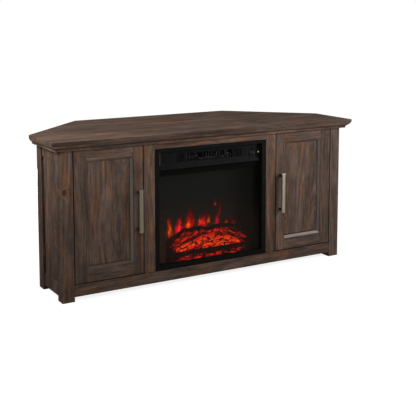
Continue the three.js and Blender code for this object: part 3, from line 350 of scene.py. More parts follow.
class WalnutFigure(NodeSheet):
    """The walnut pattern that all boards share, written once as a node group.

    A noise is given by its spots to the metre along the grain and across it, its finer layers and
    their strength. A sway is given by its spots, its reach and its finer layers.
    """

    made: WalnutFigure | None = None

    BEND = ((2.2, 9.0, 9.0), (0.0, 0.020, 0.020))
    TRUNK_BEND = ((1.7, 1.0, 1.0), (0.0, 0.10, 0.16), 1.0)
    RAGGED = ((60.0, 90.0, 90.0), (0.012, 0.0, 0.010))
    BROAD_RINGS, FINE_RINGS, RING_SWELL = (75.0, 1.0), (420.0, 2.0), 0.020
    BANDS = ((7.0, 85.0, 85.0), 3.0, 0.6)
    STREAKS = ((17.0, 290.0, 290.0), 3.0, 0.65)
    FIBRES = ((60.0, 1050.0, 1050.0), 3.0, 0.6)
    PORES = ((75.0, 1250.0, 1250.0), 2.0)
    CLOUDS = ((9.0, 21.0, 21.0), 4.0, 0.6)
    WARM_PATCHES = ((8.0, 34.0, 34.0), 4.0, 0.6)
    SMOKY_PATCHES = ((13.0, 40.0, 40.0), 4.0, 0.6)
    TONE_WEIGHTS = (0.14, 0.21, 0.22, 0.06, 0.22)
    BROAD_WEIGHT = 0.15
    TONE_SPAN = (0.38, 0.62)
    TONES = (
        (0.0, (0.027, 0.018, 0.014)), (0.28, (0.050, 0.033, 0.025)), (0.5, (0.075, 0.049, 0.036)),
        (0.75, (0.107, 0.069, 0.050)), (1.0, (0.150, 0.097, 0.068)),
    )
    COOL, WARM, WARM_STEP = (0.97, 1.0, 1.05), (1.30, 1.0, 0.80), (0.46, 0.68)
    SMOKE = Stain(0.52, 0.68, 0.55, (0.040, 0.031, 0.028))
    KNOT_HALO = Stain(0.05, 0.4, 0.75, (0.135, 0.062, 0.034))
    KNOT_HEART = Stain(0.55, 0.8, 0.85, (0.030, 0.020, 0.016))
    PORE = Stain(0.40, 0.31, 0.5, (0.018, 0.012, 0.010))
    FIBRE_HEIGHT, PORE_HEIGHT, LINE_HEIGHT = 0.35, -0.9, 0.3
    SHINE = (0.3, 0.7, 0.66, 0.52)
    KNOT_SPOTS, KNOT_CHANCE, KNOT_FADE, KNOT_STRENGTH = (5.0, 12.0, 12.0), (0.80, 0.83), (0.16, 0.0), 0.8
    KNOT_SHAPE = (0.62, 0.15, 1.0)

    @classmethod
    def get(cls) -> bpy.types.NodeTree:
        """Returns the group, made at its first use."""
        cls.made = cls.made or cls()
        return cls.made.tree

    def __init__(self) -> None:
        """Writes the pattern: rings, streaks, warm and smoky patches, knots and pores."""
        inputs = dict.fromkeys(("Place", "Knot"), "Vector")
        inputs |= dict.fromkeys(("Warmth", "Shade", "Knot Size"), "Float")
        outputs = {"Colour": "Color", "Roughness": "Float", "Height": "Float"}
        super().__init__(new_group("walnut figure", "ShaderNodeTree", inputs, outputs))
        given = self.node("NodeGroupInput").outputs
        place = given["Place"]
        knot = self._knots(place, given["Knot"], given["Knot Size"])
        bent = self.sway(place, *self.BEND)
        rings = self.math("MULTIPLY_ADD", knot, self.RING_SWELL, self._rings(bent))
        broad, lines = self.noise_line(rings, *self.BROAD_RINGS), self.noise_line(rings, *self.FINE_RINGS)
        bands, streak = self.noise(bent, *self.BANDS), self.noise(bent, *self.STREAKS)
        fibre, cloud = self.noise(place, *self.FIBRES), self.noise(place, *self.CLOUDS)
        tone = self.times(broad, self.BROAD_WEIGHT)
        for part, weight in zip((lines, bands, streak, fibre, cloud), self.TONE_WEIGHTS):
            tone = self.math("MULTIPLY_ADD", part, weight, tone)
        colour = self.ramp(self.fit(tone, *self.TONE_SPAN, 0.0, 1.0), *self.TONES)
        colour = self._tint(place, bent, given["Warmth"], colour)
        colour, _ = self._stained(colour, knot, self.KNOT_HALO)
        colour, _ = self._stained(colour, knot, self.KNOT_HEART)
        colour, pores = self._stained(colour, self.noise(place, *self.PORES), self.PORE)
        height = self.math("MULTIPLY_ADD", fibre, self.FIBRE_HEIGHT, self.times(pores, self.PORE_HEIGHT))
        self.node("NodeGroupOutput", {
            "Colour": self.scaled(colour, given["Shade"]), "Roughness": self.fit(streak, *self.SHINE),
            "Height": self.math("MULTIPLY_ADD", lines, self.LINE_HEIGHT, height),
        })

    def _stained(self, colour: Feed, mask: Feed, stain: Stain) -> tuple[Socket, Socket]:
        """Returns a colour with a stain in it, and where the stain is."""
        there = self.step(mask, stain.low, stain.high)
        return self.blend(self.times(there, stain.share), colour, stain.tint), there

    def _rings(self, bent: Feed) -> Socket:
        """Writes the distance from the trunk's heart, which wanders along the board.

        Args:
            bent: the place, with the grain's slow bends in it.

        Returns:
            The distance in metres.
        """
        along, across, deep = self.parts(bent)
        drift = self.sway(self.joined(along, 0.0, 0.0), *self.TRUNK_BEND)
        _, drift_across, drift_deep = self.parts(drift)
        across = self.math("ADD", drift_across, across)
        return self.measure("LENGTH", self.joined(0.0, across, self.math("ADD", drift_deep, deep)))

    def _tint(self, place: Feed, bent: Feed, warmth: Feed, colour: Feed) -> Socket:
        """Warms the colour in long patches and darkens it in smoky ones.

        Args:
            place: the place in the trunk.
            bent: the same, with the grain's bends in it.
            warmth: how much warmer than usual the board is.
            colour: the colour so far.

        Returns:
            The tinted colour.
        """
        patch = self.noise(bent, *self.WARM_PATCHES)
        warm = self.math("ADD", self.step(patch, *self.WARM_STEP), warmth, clamp=True)
        colour = self.blend(1.0, colour, self.blend(warm, self.COOL, self.WARM), "MULTIPLY")
        return self._stained(colour, self.noise(place, *self.SMOKY_PATCHES), self.SMOKE)[0]

    def _knots(self, place: Feed, knot: Feed, size: Feed) -> Socket:
        """Writes the knots: scattered small ones, and the board's own large one.

        Args:
            place: the place in the trunk.
            knot: the middle of the board's own knot.
            size: its half width, next to nothing for a board without one.

        Returns:
            1 at a knot's middle, falling to 0 round it.
        """
        spread = self.vector("MULTIPLY", place, self.KNOT_SPOTS)
        cells = self.node("ShaderNodeTexVoronoi", {"Vector": spread, "Scale": 1.0}).outputs
        chosen = self.step(self.parts(cells["Color"])[0], *self.KNOT_CHANCE)
        small = self.times(self.step(cells["Distance"], *self.KNOT_FADE), chosen)
        ragged = self.sway(place, *self.RAGGED)
        away = self.vector("MULTIPLY", self.vector("SUBTRACT", ragged, knot), self.KNOT_SHAPE)
        far = self.math("DIVIDE", self.measure("LENGTH", away), size)
        return self.math("MAXIMUM", self.times(small, self.KNOT_STRENGTH), self.step(far, 1.0, 0.0))


@dataclass(frozen=True)
class Dust:
    """A painted grey highlight on a slope that faces one way, strongest where the grain stands high."""

    direction: Triple
    colour: Triple
    amount: float


@dataclass(frozen=True)
class Glaze:
    """A line of painted shade along some sides, at a place in from their edge, where a crease or an arris
    falls dark.
    """

    sides: str
    amount: float
    place: float = 0.0
    width: float = 0.0062


@dataclass(frozen=True)
class Board:
    """How one CAD board is dressed. Sides are named by sign and axis, as in -x+z.

    The gaps are the sides that face a gap, which get painted shade near the front. The shade sets the
    board's brightness, and on some boards it is raised or lowered as painted light, for how light falls
    on them. The foot is the share of that brightness left at the board's lower end, painted shade that
    darkens it towards the floor. The knot is where its own large knot lies, and a finer figure has a
    fineness above 1.
    """

    node: str
    grain: Grain
    warmth: float = 0.0
    shade: float = 1.0
    gaps: str = ""
    foot: float = 1.0
    knot: Triple | None = None
    fineness: float = 1.0
    rubbed: float = 0.26
    dust: Dust | None = None
    glaze: Glaze = Glaze("", 0.0)


class Walnut(MaterialSheet):
    """One board's walnut, cut from its own part of the trunk, with slightly rubbed edges."""

    SPECULAR = 0.035
    HEART_NEAREST, HEART_FARTHEST, ALONG_STEP = 0.03, 0.09, 1.7
    KNOT_SIZE, NO_KNOT_SIZE, NO_KNOT_AWAY = 0.019, 0.0001, 9.0
    RUB_WIDTH, RUB_STEP = 0.0030, (0.42, 0.62)
    RUB_SPOTS = ((45.0, 45.0, 45.0), 3.0, 0.65)
    RUBBED, RUBBED_SHINE = (0.17, 0.125, 0.10), -0.1
    # The painted highlight on a bevel: how squarely it must face its way, and the relief over which it
    # grows.
    DUST_TURN, DUST_HEIGHTS = (0.80, 0.94), (0.0, 0.6)
    # Painted shade in the gaps: how far in from a side and how far back from the front it reaches, and the
    # dark colour that it and the shade lines paint.
    GAP_DEPTH, STAIN_DEPTH, STAIN_FADE = 0.0012, 0.0045, 1.3
    STAIN = (0.008, 0.0055, 0.0045)
    PORE_DEPTH, PORE_STRENGTH = 0.00025, 0.6

    def __init__(self, board: Board, seed: int) -> None:
        """Writes the board's material.

        Args:
            board: how the board is dressed.
            seed: the number that picks its part of the trunk.
        """
        super().__init__(f"walnut {board.node}", self.SPECULAR)
        self.board = board
        low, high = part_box(board.node)
        middle, self.half = (low + high) / 2, (high - low) / 2
        self.centred = self.vector("SUBTRACT", self.place, tuple(middle))
        chance = random.Random(seed)
        trunk = {"Rotation": board.grain.value, "Location": (
            seed * self.ALONG_STEP,
            chance.uniform(-self.HEART_FARTHEST, self.HEART_FARTHEST),
            chance.choice((-1, 1)) * chance.uniform(self.HEART_NEAREST, self.HEART_FARTHEST),
        )}
        place = self.scaled(self.centred, board.fineness)
        knot = Vector(board.knot or low - Vector([self.NO_KNOT_AWAY] * 3)) - middle
        # The board darkens from its shade at the top to its shade times its foot at the bottom: painted
        # shade, darker towards the floor.
        height = self.parts(self.place)[2]
        figure = self.node("ShaderNodeGroup", {
            "Place": self.node("ShaderNodeMapping", {"Vector": place, **trunk}).outputs[0],
            "Warmth": board.warmth,
            "Shade": self.fit(height, low.z, high.z, board.shade * board.foot, board.shade),
            "Knot": self.node("ShaderNodeMapping", {"Vector": tuple(knot), **trunk}).outputs[0],
            "Knot Size": self.KNOT_SIZE if board.knot else self.NO_KNOT_SIZE,
        }, node_tree=WalnutFigure.get()).outputs
        rub = self._rub()
        colour = self.blend(self.times(rub, board.rubbed), figure["Colour"], self.RUBBED)
        # Painted highlight on a bevel that faces one way.
        if board.dust:
            colour = self.blend(self._dust(board.dust, figure["Height"]), colour, board.dust.colour)
        # Painted shade: dark lines in the gaps, along the panels' edges, beside the stiles' arrises and on
        # the top's front edge.
        for dark in (self._grime(), *self._glaze(board.glaze)):
            colour = self.blend(dark, colour, self.STAIN)
        roughness = self.math("MULTIPLY_ADD", rub, self.RUBBED_SHINE, figure["Roughness"])
        self.shade({"Base Color": colour, "Roughness": roughness})
        self.relief(figure["Height"], self.PORE_DEPTH, self.PORE_STRENGTH)

    def _towards(self, sides: str) -> Iterator[tuple[Socket, float]]:
        """Goes through the named sides.

        Args:
            sides: the sides, by sign and axis.

        Yields:
            How far a place is towards the side, and how far the side itself is.
        """
        parts = self.parts(self.centred)
        for sign, axis in zip(sides[::2], sides[1::2]):
            number = "xyz".index(axis)
            yield parts[number] if sign == "+" else self.times(parts[number], -1.0), self.half[number]

    def _dust(self, dust: Dust, height: Feed) -> Socket:
        """Writes the painted highlight on the slope that faces its way, strongest where the relief is high.

        Args:
            dust: the painted highlight.
            height: the figure's relief.

        Returns:
            How much of the highlight's colour shows.
        """
        facing = self.node("ShaderNodeNewGeometry").outputs["Normal"]
        turned = self.step(self.measure("DOT_PRODUCT", facing, dust.direction), *self.DUST_TURN)
        return self.times(turned, self.fit(height, *self.DUST_HEIGHTS, dust.amount / 2, dust.amount))

    def _grime(self) -> Socket:
        """Writes painted shade near the front of the sides that face a gap, where the gap falls dark.

        Returns:
            1 on a side with painted shade and 0 elsewhere.
        """
        dark: Feed = 0.0
        for outward, side in self._towards(self.board.gaps):
            near = self.step(outward, side - self.GAP_DEPTH, side - self.GAP_DEPTH / 4)
            dark = self.math("MAXIMUM", near, dark)
        depth = self.math("ADD", self.parts(self.centred)[1], self.half.y)
        return self.times(dark, self.step(depth, self.STAIN_DEPTH * self.STAIN_FADE, self.STAIN_DEPTH))

    def _glaze(self, glaze: Glaze) -> Iterator[Socket]:
        """Yields the share of painted shade for each of its lines."""
        for outward, side in self._towards(glaze.sides):
            away = self.math("ABSOLUTE", self.math("SUBTRACT", outward, side - glaze.place))
            yield self.times(self.step(away, glaze.width, glaze.width / 4), glaze.amount)

    def _rub(self) -> Socket:
        """Writes where hands and cloths rub the board: along its edges, here and there.

        Returns:
            1 on a rubbed edge and 0 away from it.
        """
        out = self.vector("ABSOLUTE", self.centred)
        x, y, z = self.parts(self.vector("SUBTRACT", tuple(self.half), out))
        nearer, farther = self.math("MINIMUM", x, y), self.math("MAXIMUM", x, y)
        edge = self.math("MAXIMUM", nearer, self.math("MINIMUM", farther, z))
        worn = self.step(self.noise(self.centred, *self.RUB_SPOTS), *self.RUB_STEP)
        return self.times(self.step(edge, self.RUB_WIDTH, 0.0), worn)


@dataclass(frozen=True)
class Speckled:
    """A plain finish with fine speckle: powder coat, moulded plastic, pressed board or metal.

    The speckle has so many spots to the metre and a relief of so many metres. It runs from the dark
    to the light tone, and from the smooth to the rough end.
    """

    name: str
    dark: Triple
    light: Triple
    smooth: float
    rough: float
    spots: float
    depth: float
    specular: float
    metallic: float = 0.0
    stretch: Triple = (1.0, 1.0, 1.0)
    coat: float = 0.0
    # Beyond this depth the colour turns dark: painted shade, as on a pull's posts behind its bar.
    dark_behind: float | None = None
    stray_light: Triple | None = None

    CLOUD_SHARE = 1 / 24
    FINE, CLOUDS = (3.0, 0.6), (3.0,)
    SPREAD, ROUGH_SPREAD = (0.38, 0.62), (0.35, 0.65)
    DARK_FALL, SHADED = 0.003, (0.035, 0.022, 0.016)
    LIT_HEIGHTS, LIT_DEPTHS = (0.30, 0.12), (-0.10, -0.14)

    def make(self) -> Material:
        """Makes the material.

        Returns:
            The material.
        """
        sheet = MaterialSheet(self.name, self.specular, self.metallic, self.coat)
        fine = sheet.noise(sheet.place, tuple(self.spots * part for part in self.stretch), *self.FINE)
        wide = tuple(self.spots * part * self.CLOUD_SHARE for part in self.stretch)
        cloud = sheet.noise(sheet.place, wide, *self.CLOUDS)
        share = sheet.math("MULTIPLY_ADD", cloud, 0.5, sheet.times(fine, 0.5))
        colour = sheet.ramp(sheet.fit(share, *self.SPREAD, 0.0, 1.0), (0.0, self.dark), (1.0, self.light))
        # Painted shade on what lies behind the given depth.
        if self.dark_behind is not None:
            depth = sheet.parts(sheet.place)[1]
            behind = sheet.step(depth, self.dark_behind, self.dark_behind + self.DARK_FALL)
            colour = sheet.blend(behind, colour, self.SHADED)
        roughness = sheet.fit(share, *self.ROUGH_SPREAD, self.smooth, self.rough)
        sheet.shade({"Base Color": colour, "Roughness": roughness})
        if self.stray_light is not None:
            _, depth, height = sheet.parts(sheet.place)
            near = sheet.times(sheet.step(height, *self.LIT_HEIGHTS), sheet.step(depth, *self.LIT_DEPTHS))
            sheet.shade({"Emission Color": sheet.scaled(self.stray_light, near), "Emission Strength": 1.0})
        sheet.relief(fine, self.depth)
        return sheet.material


@dataclass(frozen=True)
class Glow:
    """A small lit lens."""

    name: str
    body: Triple
    light: Triple
    strength: float

    GRIT = ((900.0, 900.0, 900.0),)
    SHINE, SPECULAR, DIMMED = (0.3, 0.7, 0.18, 0.3), 0.5, 0.7

    def make(self) -> Material:
        """Makes the material.

        Returns:
            The material.
        """
        sheet = MaterialSheet(self.name, self.SPECULAR)
        grit = sheet.noise(sheet.place, *self.GRIT)
        dim = tuple(part * self.DIMMED for part in self.light)
        sheet.shade({
            "Base Color": self.body, "Roughness": sheet.fit(grit, *self.SHINE),
            "Emission Color": sheet.ramp(grit, (0.3, dim), (0.7, self.light)),
            "Emission Strength": self.strength,
        })
        return sheet.material


@dataclass(frozen=True)
class SmokedGlass:
    """The fire's dark pane, printed black behind its top edge."""

    name: str
    clear: float
    print_foot: float

    DUST, SHINE, SPECULAR = ((60.0, 60.0, 60.0), 4.0, 0.7), (0.3, 0.7, 0.03, 0.09), 0.05
    PRINT_FADE = 0.001
    TINT, PRINT = (0.006, 0.006, 0.005), (0.0035, 0.0035, 0.0033)

    def make(self) -> Material:
        """Makes the material.

        Returns:
            The material.
        """
        sheet = MaterialSheet(self.name, self.SPECULAR)
        dust = sheet.noise(sheet.place, *self.DUST)
        height = sheet.parts(sheet.place)[2]
        printed = sheet.step(height, self.print_foot - self.PRINT_FADE, self.print_foot + self.PRINT_FADE)
        sheet.shade({
            "Base Color": sheet.blend(printed, self.TINT, self.PRINT),
            "Roughness": sheet.fit(dust, *self.SHINE),
            "Alpha": sheet.math("MAXIMUM", printed, 1.0 - self.clear),
        })
        return sheet.material


@dataclass(frozen=True)
class Flame:
    """One tongue of light on the flame screen, with its foot's height, half its width and its rise.

    A lean of 1 moves its tip sideways by two widths.
    """

    x: float
    foot: float
    half: float
    rise: float
    lean: float
    rim: Triple
    heart: Triple
    strength: float


RED = (0.66, 0.004, 0.003)
ORANGE = (0.62, 0.036, 0.001)
YELLOW = (0.88, 0.150, 0.002)
AMBER = (0.90, 0.085, 0.001)
PINK = (0.92, 0.004, 0.022)
MAGENTA = (0.95, 0.006, 0.20)
EMBER = (0.27, 0.005, 0.002)
DIM = (0.10, 0.003, 0.002)

FLAMES = (
    Flame(-0.133, 0.140, 0.0115, 0.082, 0.00, ORANGE, YELLOW, 1.5),
    Flame(-0.136, 0.176, 0.0090, 0.060, -0.10, EMBER, ORANGE, 0.6),
    Flame(-0.131, 0.138, 0.0080, 0.034, 0.00, RED, PINK, 1.1),
    Flame(-0.098, 0.148, 0.0145, 0.070, 0.12, RED, PINK, 2.9),
    Flame(-0.092, 0.165, 0.0060, 0.030, 0.00, RED, MAGENTA, 1.5),
    Flame(-0.091, 0.182, 0.0090, 0.060, 0.15, DIM, EMBER, 1.2),
    Flame(-0.056, 0.160, 0.0180, 0.066, 0.02, RED, AMBER, 2.2),
    Flame(-0.038, 0.176, 0.0100, 0.050, 0.10, EMBER, RED, 1.2),
    Flame(-0.048, 0.190, 0.0190, 0.080, 0.00, DIM, EMBER, 0.9),
    Flame(0.004, 0.165, 0.0200, 0.050, 0.00, RED, PINK, 2.0),
    Flame(-0.006, 0.172, 0.0070, 0.044, -0.10, ORANGE, YELLOW, 1.2),
    Flame(0.028, 0.170, 0.0065, 0.050, 0.20, ORANGE, YELLOW, 1.1),
    Flame(0.012, 0.190, 0.0120, 0.060, 0.30, DIM, EMBER, 0.8),
    Flame(0.066, 0.160, 0.0120, 0.056, 0.00, RED, PINK, 1.2),
    Flame(0.070, 0.190, 0.0110, 0.074, 0.30, DIM, EMBER, 1.2),
    Flame(0.056, 0.238, 0.0042, 0.034, 0.00, EMBER, RED, 1.2),
    Flame(0.106, 0.156, 0.0130, 0.050, 0.00, DIM, ORANGE, 0.7),
    Flame(0.138, 0.153, 0.0120, 0.048, 0.00, DIM, EMBER, 0.9),
)


@dataclass(frozen=True)
class FlameScreen:
    """The dark screen behind the logs, on which the turning flags throw the flames."""

    name: str
    flames: tuple[Flame, ...]
    haze: float = 0.010

    GRIT, SHINE, SPECULAR = ((300.0, 300.0, 300.0),), (0.3, 0.7, 0.4, 0.55), 0.1
    CLOTH = ((0.3, (0.004, 0.004, 0.0035)), (0.7, (0.006, 0.006, 0.005)))
    CURL = ((70.0, 1.0, 30.0), (0.016, 0.0, 0.026), 3.0)
    FRAY = ((190.0, 1.0, 75.0), (0.018, 0.0, 0.034))
    LICKS, LICK_SPAN = ((230.0, 1.0, 55.0), 3.0, 0.65), (0.35, 0.65, 0.42, 1.50)
    HAZE_ENDS, HAZE_HEIGHTS = (0.24, 0.03), (0.30, 0.12)
    HAZE_COOL, HAZE_WARM = (1.0, 1.05, 0.92), (3.4, 1.7, 1.0)
    HAZE_LEAST = 0.3
    WIDTHS, SIDE_FALL = (0.15, 1.0, 1.0, 0.35), -1.4
    FOOT_FADE, TIP_FADE, HEART_STEP = (0.0, 0.32), (1.0, 0.30), (0.40, 0.95)
    LEAN_REACH = 4

    def make(self) -> Material:
        """Makes the material.

        Returns:
            The material.
        """
        sheet = MaterialSheet(self.name, self.SPECULAR)
        grit = sheet.noise(sheet.place, *self.GRIT)
        curled = sheet.sway(sheet.sway(sheet.place, *self.CURL), *self.FRAY)
        light: Feed = (0.0, 0.0, 0.0)
        cover: Feed = 0.0
        for flame in self.flames:
            colour, inside = self._tongue(sheet, curled, flame)
            light = sheet.vector("ADD", light, colour)
            cover = sheet.math("ADD", cover, inside, clamp=True)
        licks = sheet.fit(sheet.noise(sheet.place, *self.LICKS), *self.LICK_SPAN)
        light = sheet.scaled(light, licks)
        stray = sheet.scaled(self._haze(sheet), sheet.math("SUBTRACT", 1.0, cover))
        sheet.shade({
            "Base Color": sheet.ramp(grit, *self.CLOTH), "Roughness": sheet.fit(grit, *self.SHINE),
            "Emission Color": sheet.vector("ADD", light, stray), "Emission Strength": 1.0,
        })
        return sheet.material

    def _haze(self, sheet: MaterialSheet) -> Socket:
        """Writes the faint stray light on the screen, warmest low down and weak at the right.

        Args:
            sheet: the material's sheet.

        Returns:
            The colour of the stray light.
        """
        across, _, up = sheet.parts(sheet.place)
        side = sheet.fit(sheet.step(across, *self.HAZE_ENDS), 0.0, 1.0, self.HAZE_LEAST, 1.0)
        colour = sheet.blend(sheet.step(up, *self.HAZE_HEIGHTS), self.HAZE_COOL, self.HAZE_WARM)
        return sheet.scaled(colour, sheet.times(side, self.haze))

    def _tongue(self, sheet: NodeSheet, place: Feed, flame: Flame) -> tuple[Socket, Socket]:
        """Writes one flame: a rim, and a hotter heart low in it.

        Args:
            sheet: the material's sheet.
            place: the place on the screen, with the flames' curl in it.
            flame: the flame.

        Returns:
            The flame's light, and how far it covers the screen.
        """
        across, _, up = sheet.parts(place)
        share = sheet.fit(up, flame.foot, flame.foot + flame.rise, 0.0, 1.0)
        centre = sheet.math("MULTIPLY_ADD", share, flame.lean * flame.half * self.LEAN_REACH, flame.x)
        off = sheet.math("DIVIDE", sheet.math("SUBTRACT", across, centre), flame.half)
        spread = sheet.math("POWER", sheet.math("DIVIDE", off, sheet.fit(share, *self.WIDTHS)), 2.0)
        body = sheet.math("EXPONENT", sheet.times(spread, self.SIDE_FALL))
        fade = sheet.times(sheet.step(share, *self.FOOT_FADE), sheet.step(share, *self.TIP_FADE))
        inside = sheet.times(body, fade)
        colour = sheet.blend(sheet.step(inside, *self.HEART_STEP), flame.rim, flame.heart)
        return sheet.scaled(colour, sheet.times(inside, flame.strength)), inside


@dataclass(frozen=True)
class EmberBark:
    """Moulded log resin: charred where it is cool, and lit from inside through its thin places."""

    name: str
    glow: float
    mapped: bool = True

    HEAT = "ember_heat"
    BARK_MAP = "bark"
    BARK_BEND = ((110.0, 110.0, 110.0), (0.012, 0.011, 0.0))
    PLATES, PLATE_CHANCE = (25.0, 118.0, 118.0), 0.9
    SPLITS = ((90.0, 430.0, 430.0), 3.0, 0.65)
    ASH = ((85.0, 85.0, 85.0), 4.0, 0.65)
    SPARKS = ((260.0, 260.0, 260.0), 2.0, 0.6)
    CRACK_STEP, SPLIT_GLOW, HOT_STEP = (0.035, 0.14), (0.36, 0.60, 0.22, 1.0), (0.05, 0.50)
    ASH_HEAT, PLATE_HEAT = (0.3, 0.7, -0.22, 0.16), (0.0, 1.0, -0.12, 0.10)
    RIM_STEP, RIM_HOT_STEP, SPARK_STEP = (0.29, 0.14), (0.56, 0.90), (0.38, 0.58)
    HEATS = (
        (0.0, (0.06, 0.001, 0.0)), (0.35, (0.34, 0.004, 0.001)), (0.65, (0.80, 0.007, 0.004)),
        (0.90, (1.0, 0.008, 0.007)), (1.0, (1.0, 0.012, 0.005)),
    )
    RIM = (1.0, 0.115, 0.003)
    AFTERGLOW = (0.012, 0.0045, 0.0030)
    CHAR = ((0.35, (0.006, 0.005, 0.005)), (0.7, (0.020, 0.016, 0.014)))
    SHINE, BARK_DEPTH = (0.3, 0.7, 0.55, 0.85), 0.0009

    def make(self) -> Material:
        """Makes the material. Its heat is stored on the mesh, and its cracks follow the bark map.

        Returns:
            The material.
        """
        sheet = MaterialSheet(self.name, specular=0.0)
        place = sheet.place
        heat = sheet.node("ShaderNodeAttribute", attribute_name=self.HEAT).outputs["Fac"]
        bark = sheet.node("ShaderNodeUVMap", uv_map=self.BARK_MAP).outputs[0] if self.mapped else place
        bark = sheet.sway(bark, *self.BARK_BEND)
        plates = {"Vector": sheet.vector("MULTIPLY", bark, self.PLATES), "Scale": 1.0}
        plates["Randomness"] = self.PLATE_CHANCE
        cracks = sheet.node("ShaderNodeTexVoronoi", plates, feature="DISTANCE_TO_EDGE").outputs["Distance"]
        chance = sheet.parts(sheet.node("ShaderNodeTexVoronoi", plates).outputs["Color"])[0]
        ash, splits = sheet.noise(place, *self.ASH), sheet.noise(bark, *self.SPLITS)
        glowing = sheet.times(sheet.step(cracks, *self.CRACK_STEP), sheet.fit(splits, *self.SPLIT_GLOW))
        hot = sheet.math("ADD", heat, sheet.fit(ash, *self.ASH_HEAT))
        hot = sheet.math("ADD", hot, sheet.fit(chance, *self.PLATE_HEAT))
        shown = sheet.times(glowing, sheet.step(hot, *self.HOT_STEP))
        rim = sheet.times(sheet.step(cracks, *self.RIM_STEP), sheet.step(hot, *self.RIM_HOT_STEP))
        rim = sheet.times(rim, sheet.step(sheet.noise(place, *self.SPARKS), *self.SPARK_STEP))
        colour = sheet.blend(rim, sheet.ramp(hot, *self.HEATS), self.RIM)
        light = sheet.vector("ADD", sheet.scaled(colour, shown), sheet.scaled(self.AFTERGLOW, splits))
        sheet.shade({
            "Emission Color": light, "Emission Strength": self.glow,
            "Base Color": sheet.ramp(ash, *self.CHAR), "Roughness": sheet.fit(ash, *self.SHINE),
        })
        sheet.relief(sheet.math("MULTIPLY_ADD", ash, 0.5, glowing), self.BARK_DEPTH)
        return sheet.material


POWDER_COAT: dict[str, Any] = {
    "dark": (0.0034, 0.0036, 0.0034), "light": (0.0058, 0.0060, 0.0056), "smooth": 0.5, "rough": 0.65,
    "spots": 1400.0, "depth": 0.00003, "specular": 0.03,
}


class Finishes:
    """The finishes that several pieces share, each made once."""

    def __init__(self) -> None:
        """Makes the shared materials."""
        self.black_sheet = Speckled("black powder coat", **POWDER_COAT).make()
        self.black_plastic = Speckled(
            "black moulded plastic", (0.0040, 0.0040, 0.0040), (0.0064, 0.0064, 0.0064), smooth=0.4,
            rough=0.55, spots=1100.0, depth=0.00002, specular=0.04,
        ).make()
        self.steel = Speckled(
            "bright steel", (0.30, 0.30, 0.31), (0.46, 0.46, 0.47), smooth=0.26, rough=0.42, spots=500.0,
            depth=0.00002, specular=0.5, metallic=0.95,
        ).make()
        self.nickel = Speckled(
            "nickel plate", (0.46, 0.45, 0.43), (0.60, 0.59, 0.56), smooth=0.20, rough=0.34, spots=700.0,
            depth=0.00001, specular=0.5, metallic=0.95,
        ).make()
        self.dark_screw = Speckled(
            "blackened screw", (0.020, 0.019, 0.018), (0.045, 0.043, 0.040), smooth=0.35, rough=0.55,
            spots=900.0, depth=0.00002, specular=0.4, metallic=0.7,
        ).make()
        self.brass = Speckled(
            "yellow zinc", (0.30, 0.24, 0.13), (0.42, 0.34, 0.19), smooth=0.28, rough=0.45, spots=700.0,
            depth=0.00002, specular=0.5, metallic=0.9,
        ).make()


# ---------------------------------------------------------------- making pieces


def put(node: Piece, material: Material) -> None:
    """Puts one material on all of a node's slots."""
    for slot in node.material_slots:
        slot.material = material


def soften(node: Piece, width: float, angle: float = math.radians(28), weld: float = 0.00001) -> None:
    """Rounds a node's sharp edges with modifiers, which leave its mesh as it is.

    Args:
        node: the CAD node.
        width: how wide the rounding is.
        angle: the least turn at an edge that is rounded.
        weld: how near points are to count as one.
    """
    node.modifiers.new("weld", "WELD").merge_threshold = weld
    bevel = node.modifiers.new("edge", "BEVEL")
    bevel.width = width
    bevel.segments = 2
    bevel.limit_method = "ANGLE"
    bevel.angle_limit = angle


def show(name: str, data: bpy.types.ID) -> Piece:
    """Puts a mesh, lamp or camera in the scene and returns its object."""
    made = bpy.data.objects.new(name, data)
    bpy.context.scene.collection.objects.link(made)
    return made


def new_piece(name: str, mesh: Mesh, body: Body, slot: Slot) -> Piece:
    """Puts a mesh in the scene as a piece.

    Args:
        name: the piece's name.
        mesh: its mesh, in place.
        body: the body that it rides on.
        slot: not used.

    Returns:
        The piece.
    """
    piece = show(name, mesh)
    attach(piece, body.value)
    LOG.info("%s: %d faces on %s", name, len(mesh.polygons), body.value)
    return piece


@dataclass(frozen=True)
class Block:
    """A block with rounded edges, given for the stand's right side."""

    low: Triple
    high: Triple
    edge: float

    EDGE_STEPS = 3

    def build(
        self, name: str, finish: Material, slot: Slot, body: Body = Body.STAND, side: Side = Side.RIGHT,
    ) -> None:
        """Makes the block as a piece.

        Args:
            name: the piece's name.
            finish: its material.
            slot: the record's slot for its finish, passed on to new_piece, which does not use it.
            body: the body that it rides on.
            side: the side that it is made for.
        """
        xs = sorted((side.value * self.low[0], side.value * self.high[0]))
        low = Vector((xs[0], *self.low[1:]))
        size = Vector((xs[1], *self.high[1:])) - low
        mesh = bpy.data.meshes.new(name)
        shape = bmesh.new()
        bmesh.ops.create_cube(shape, size=1.0)
        for vertex in shape.verts:
            vertex.co = low + Vector(part * (share + 0.5) for part, share in zip(size, vertex.co))
        rounding = {"offset": self.edge, "segments": self.EDGE_STEPS, "profile": 0.5, "affect": "EDGES"}
        bmesh.ops.bevel(shape, geom=shape.edges[:], **rounding)
        bmesh.ops.recalc_face_normals(shape, faces=shape.faces[:])
        shape.to_mesh(mesh)
        shape.free()
        mesh.materials.append(finish)
        new_piece(name, mesh, body, slot)


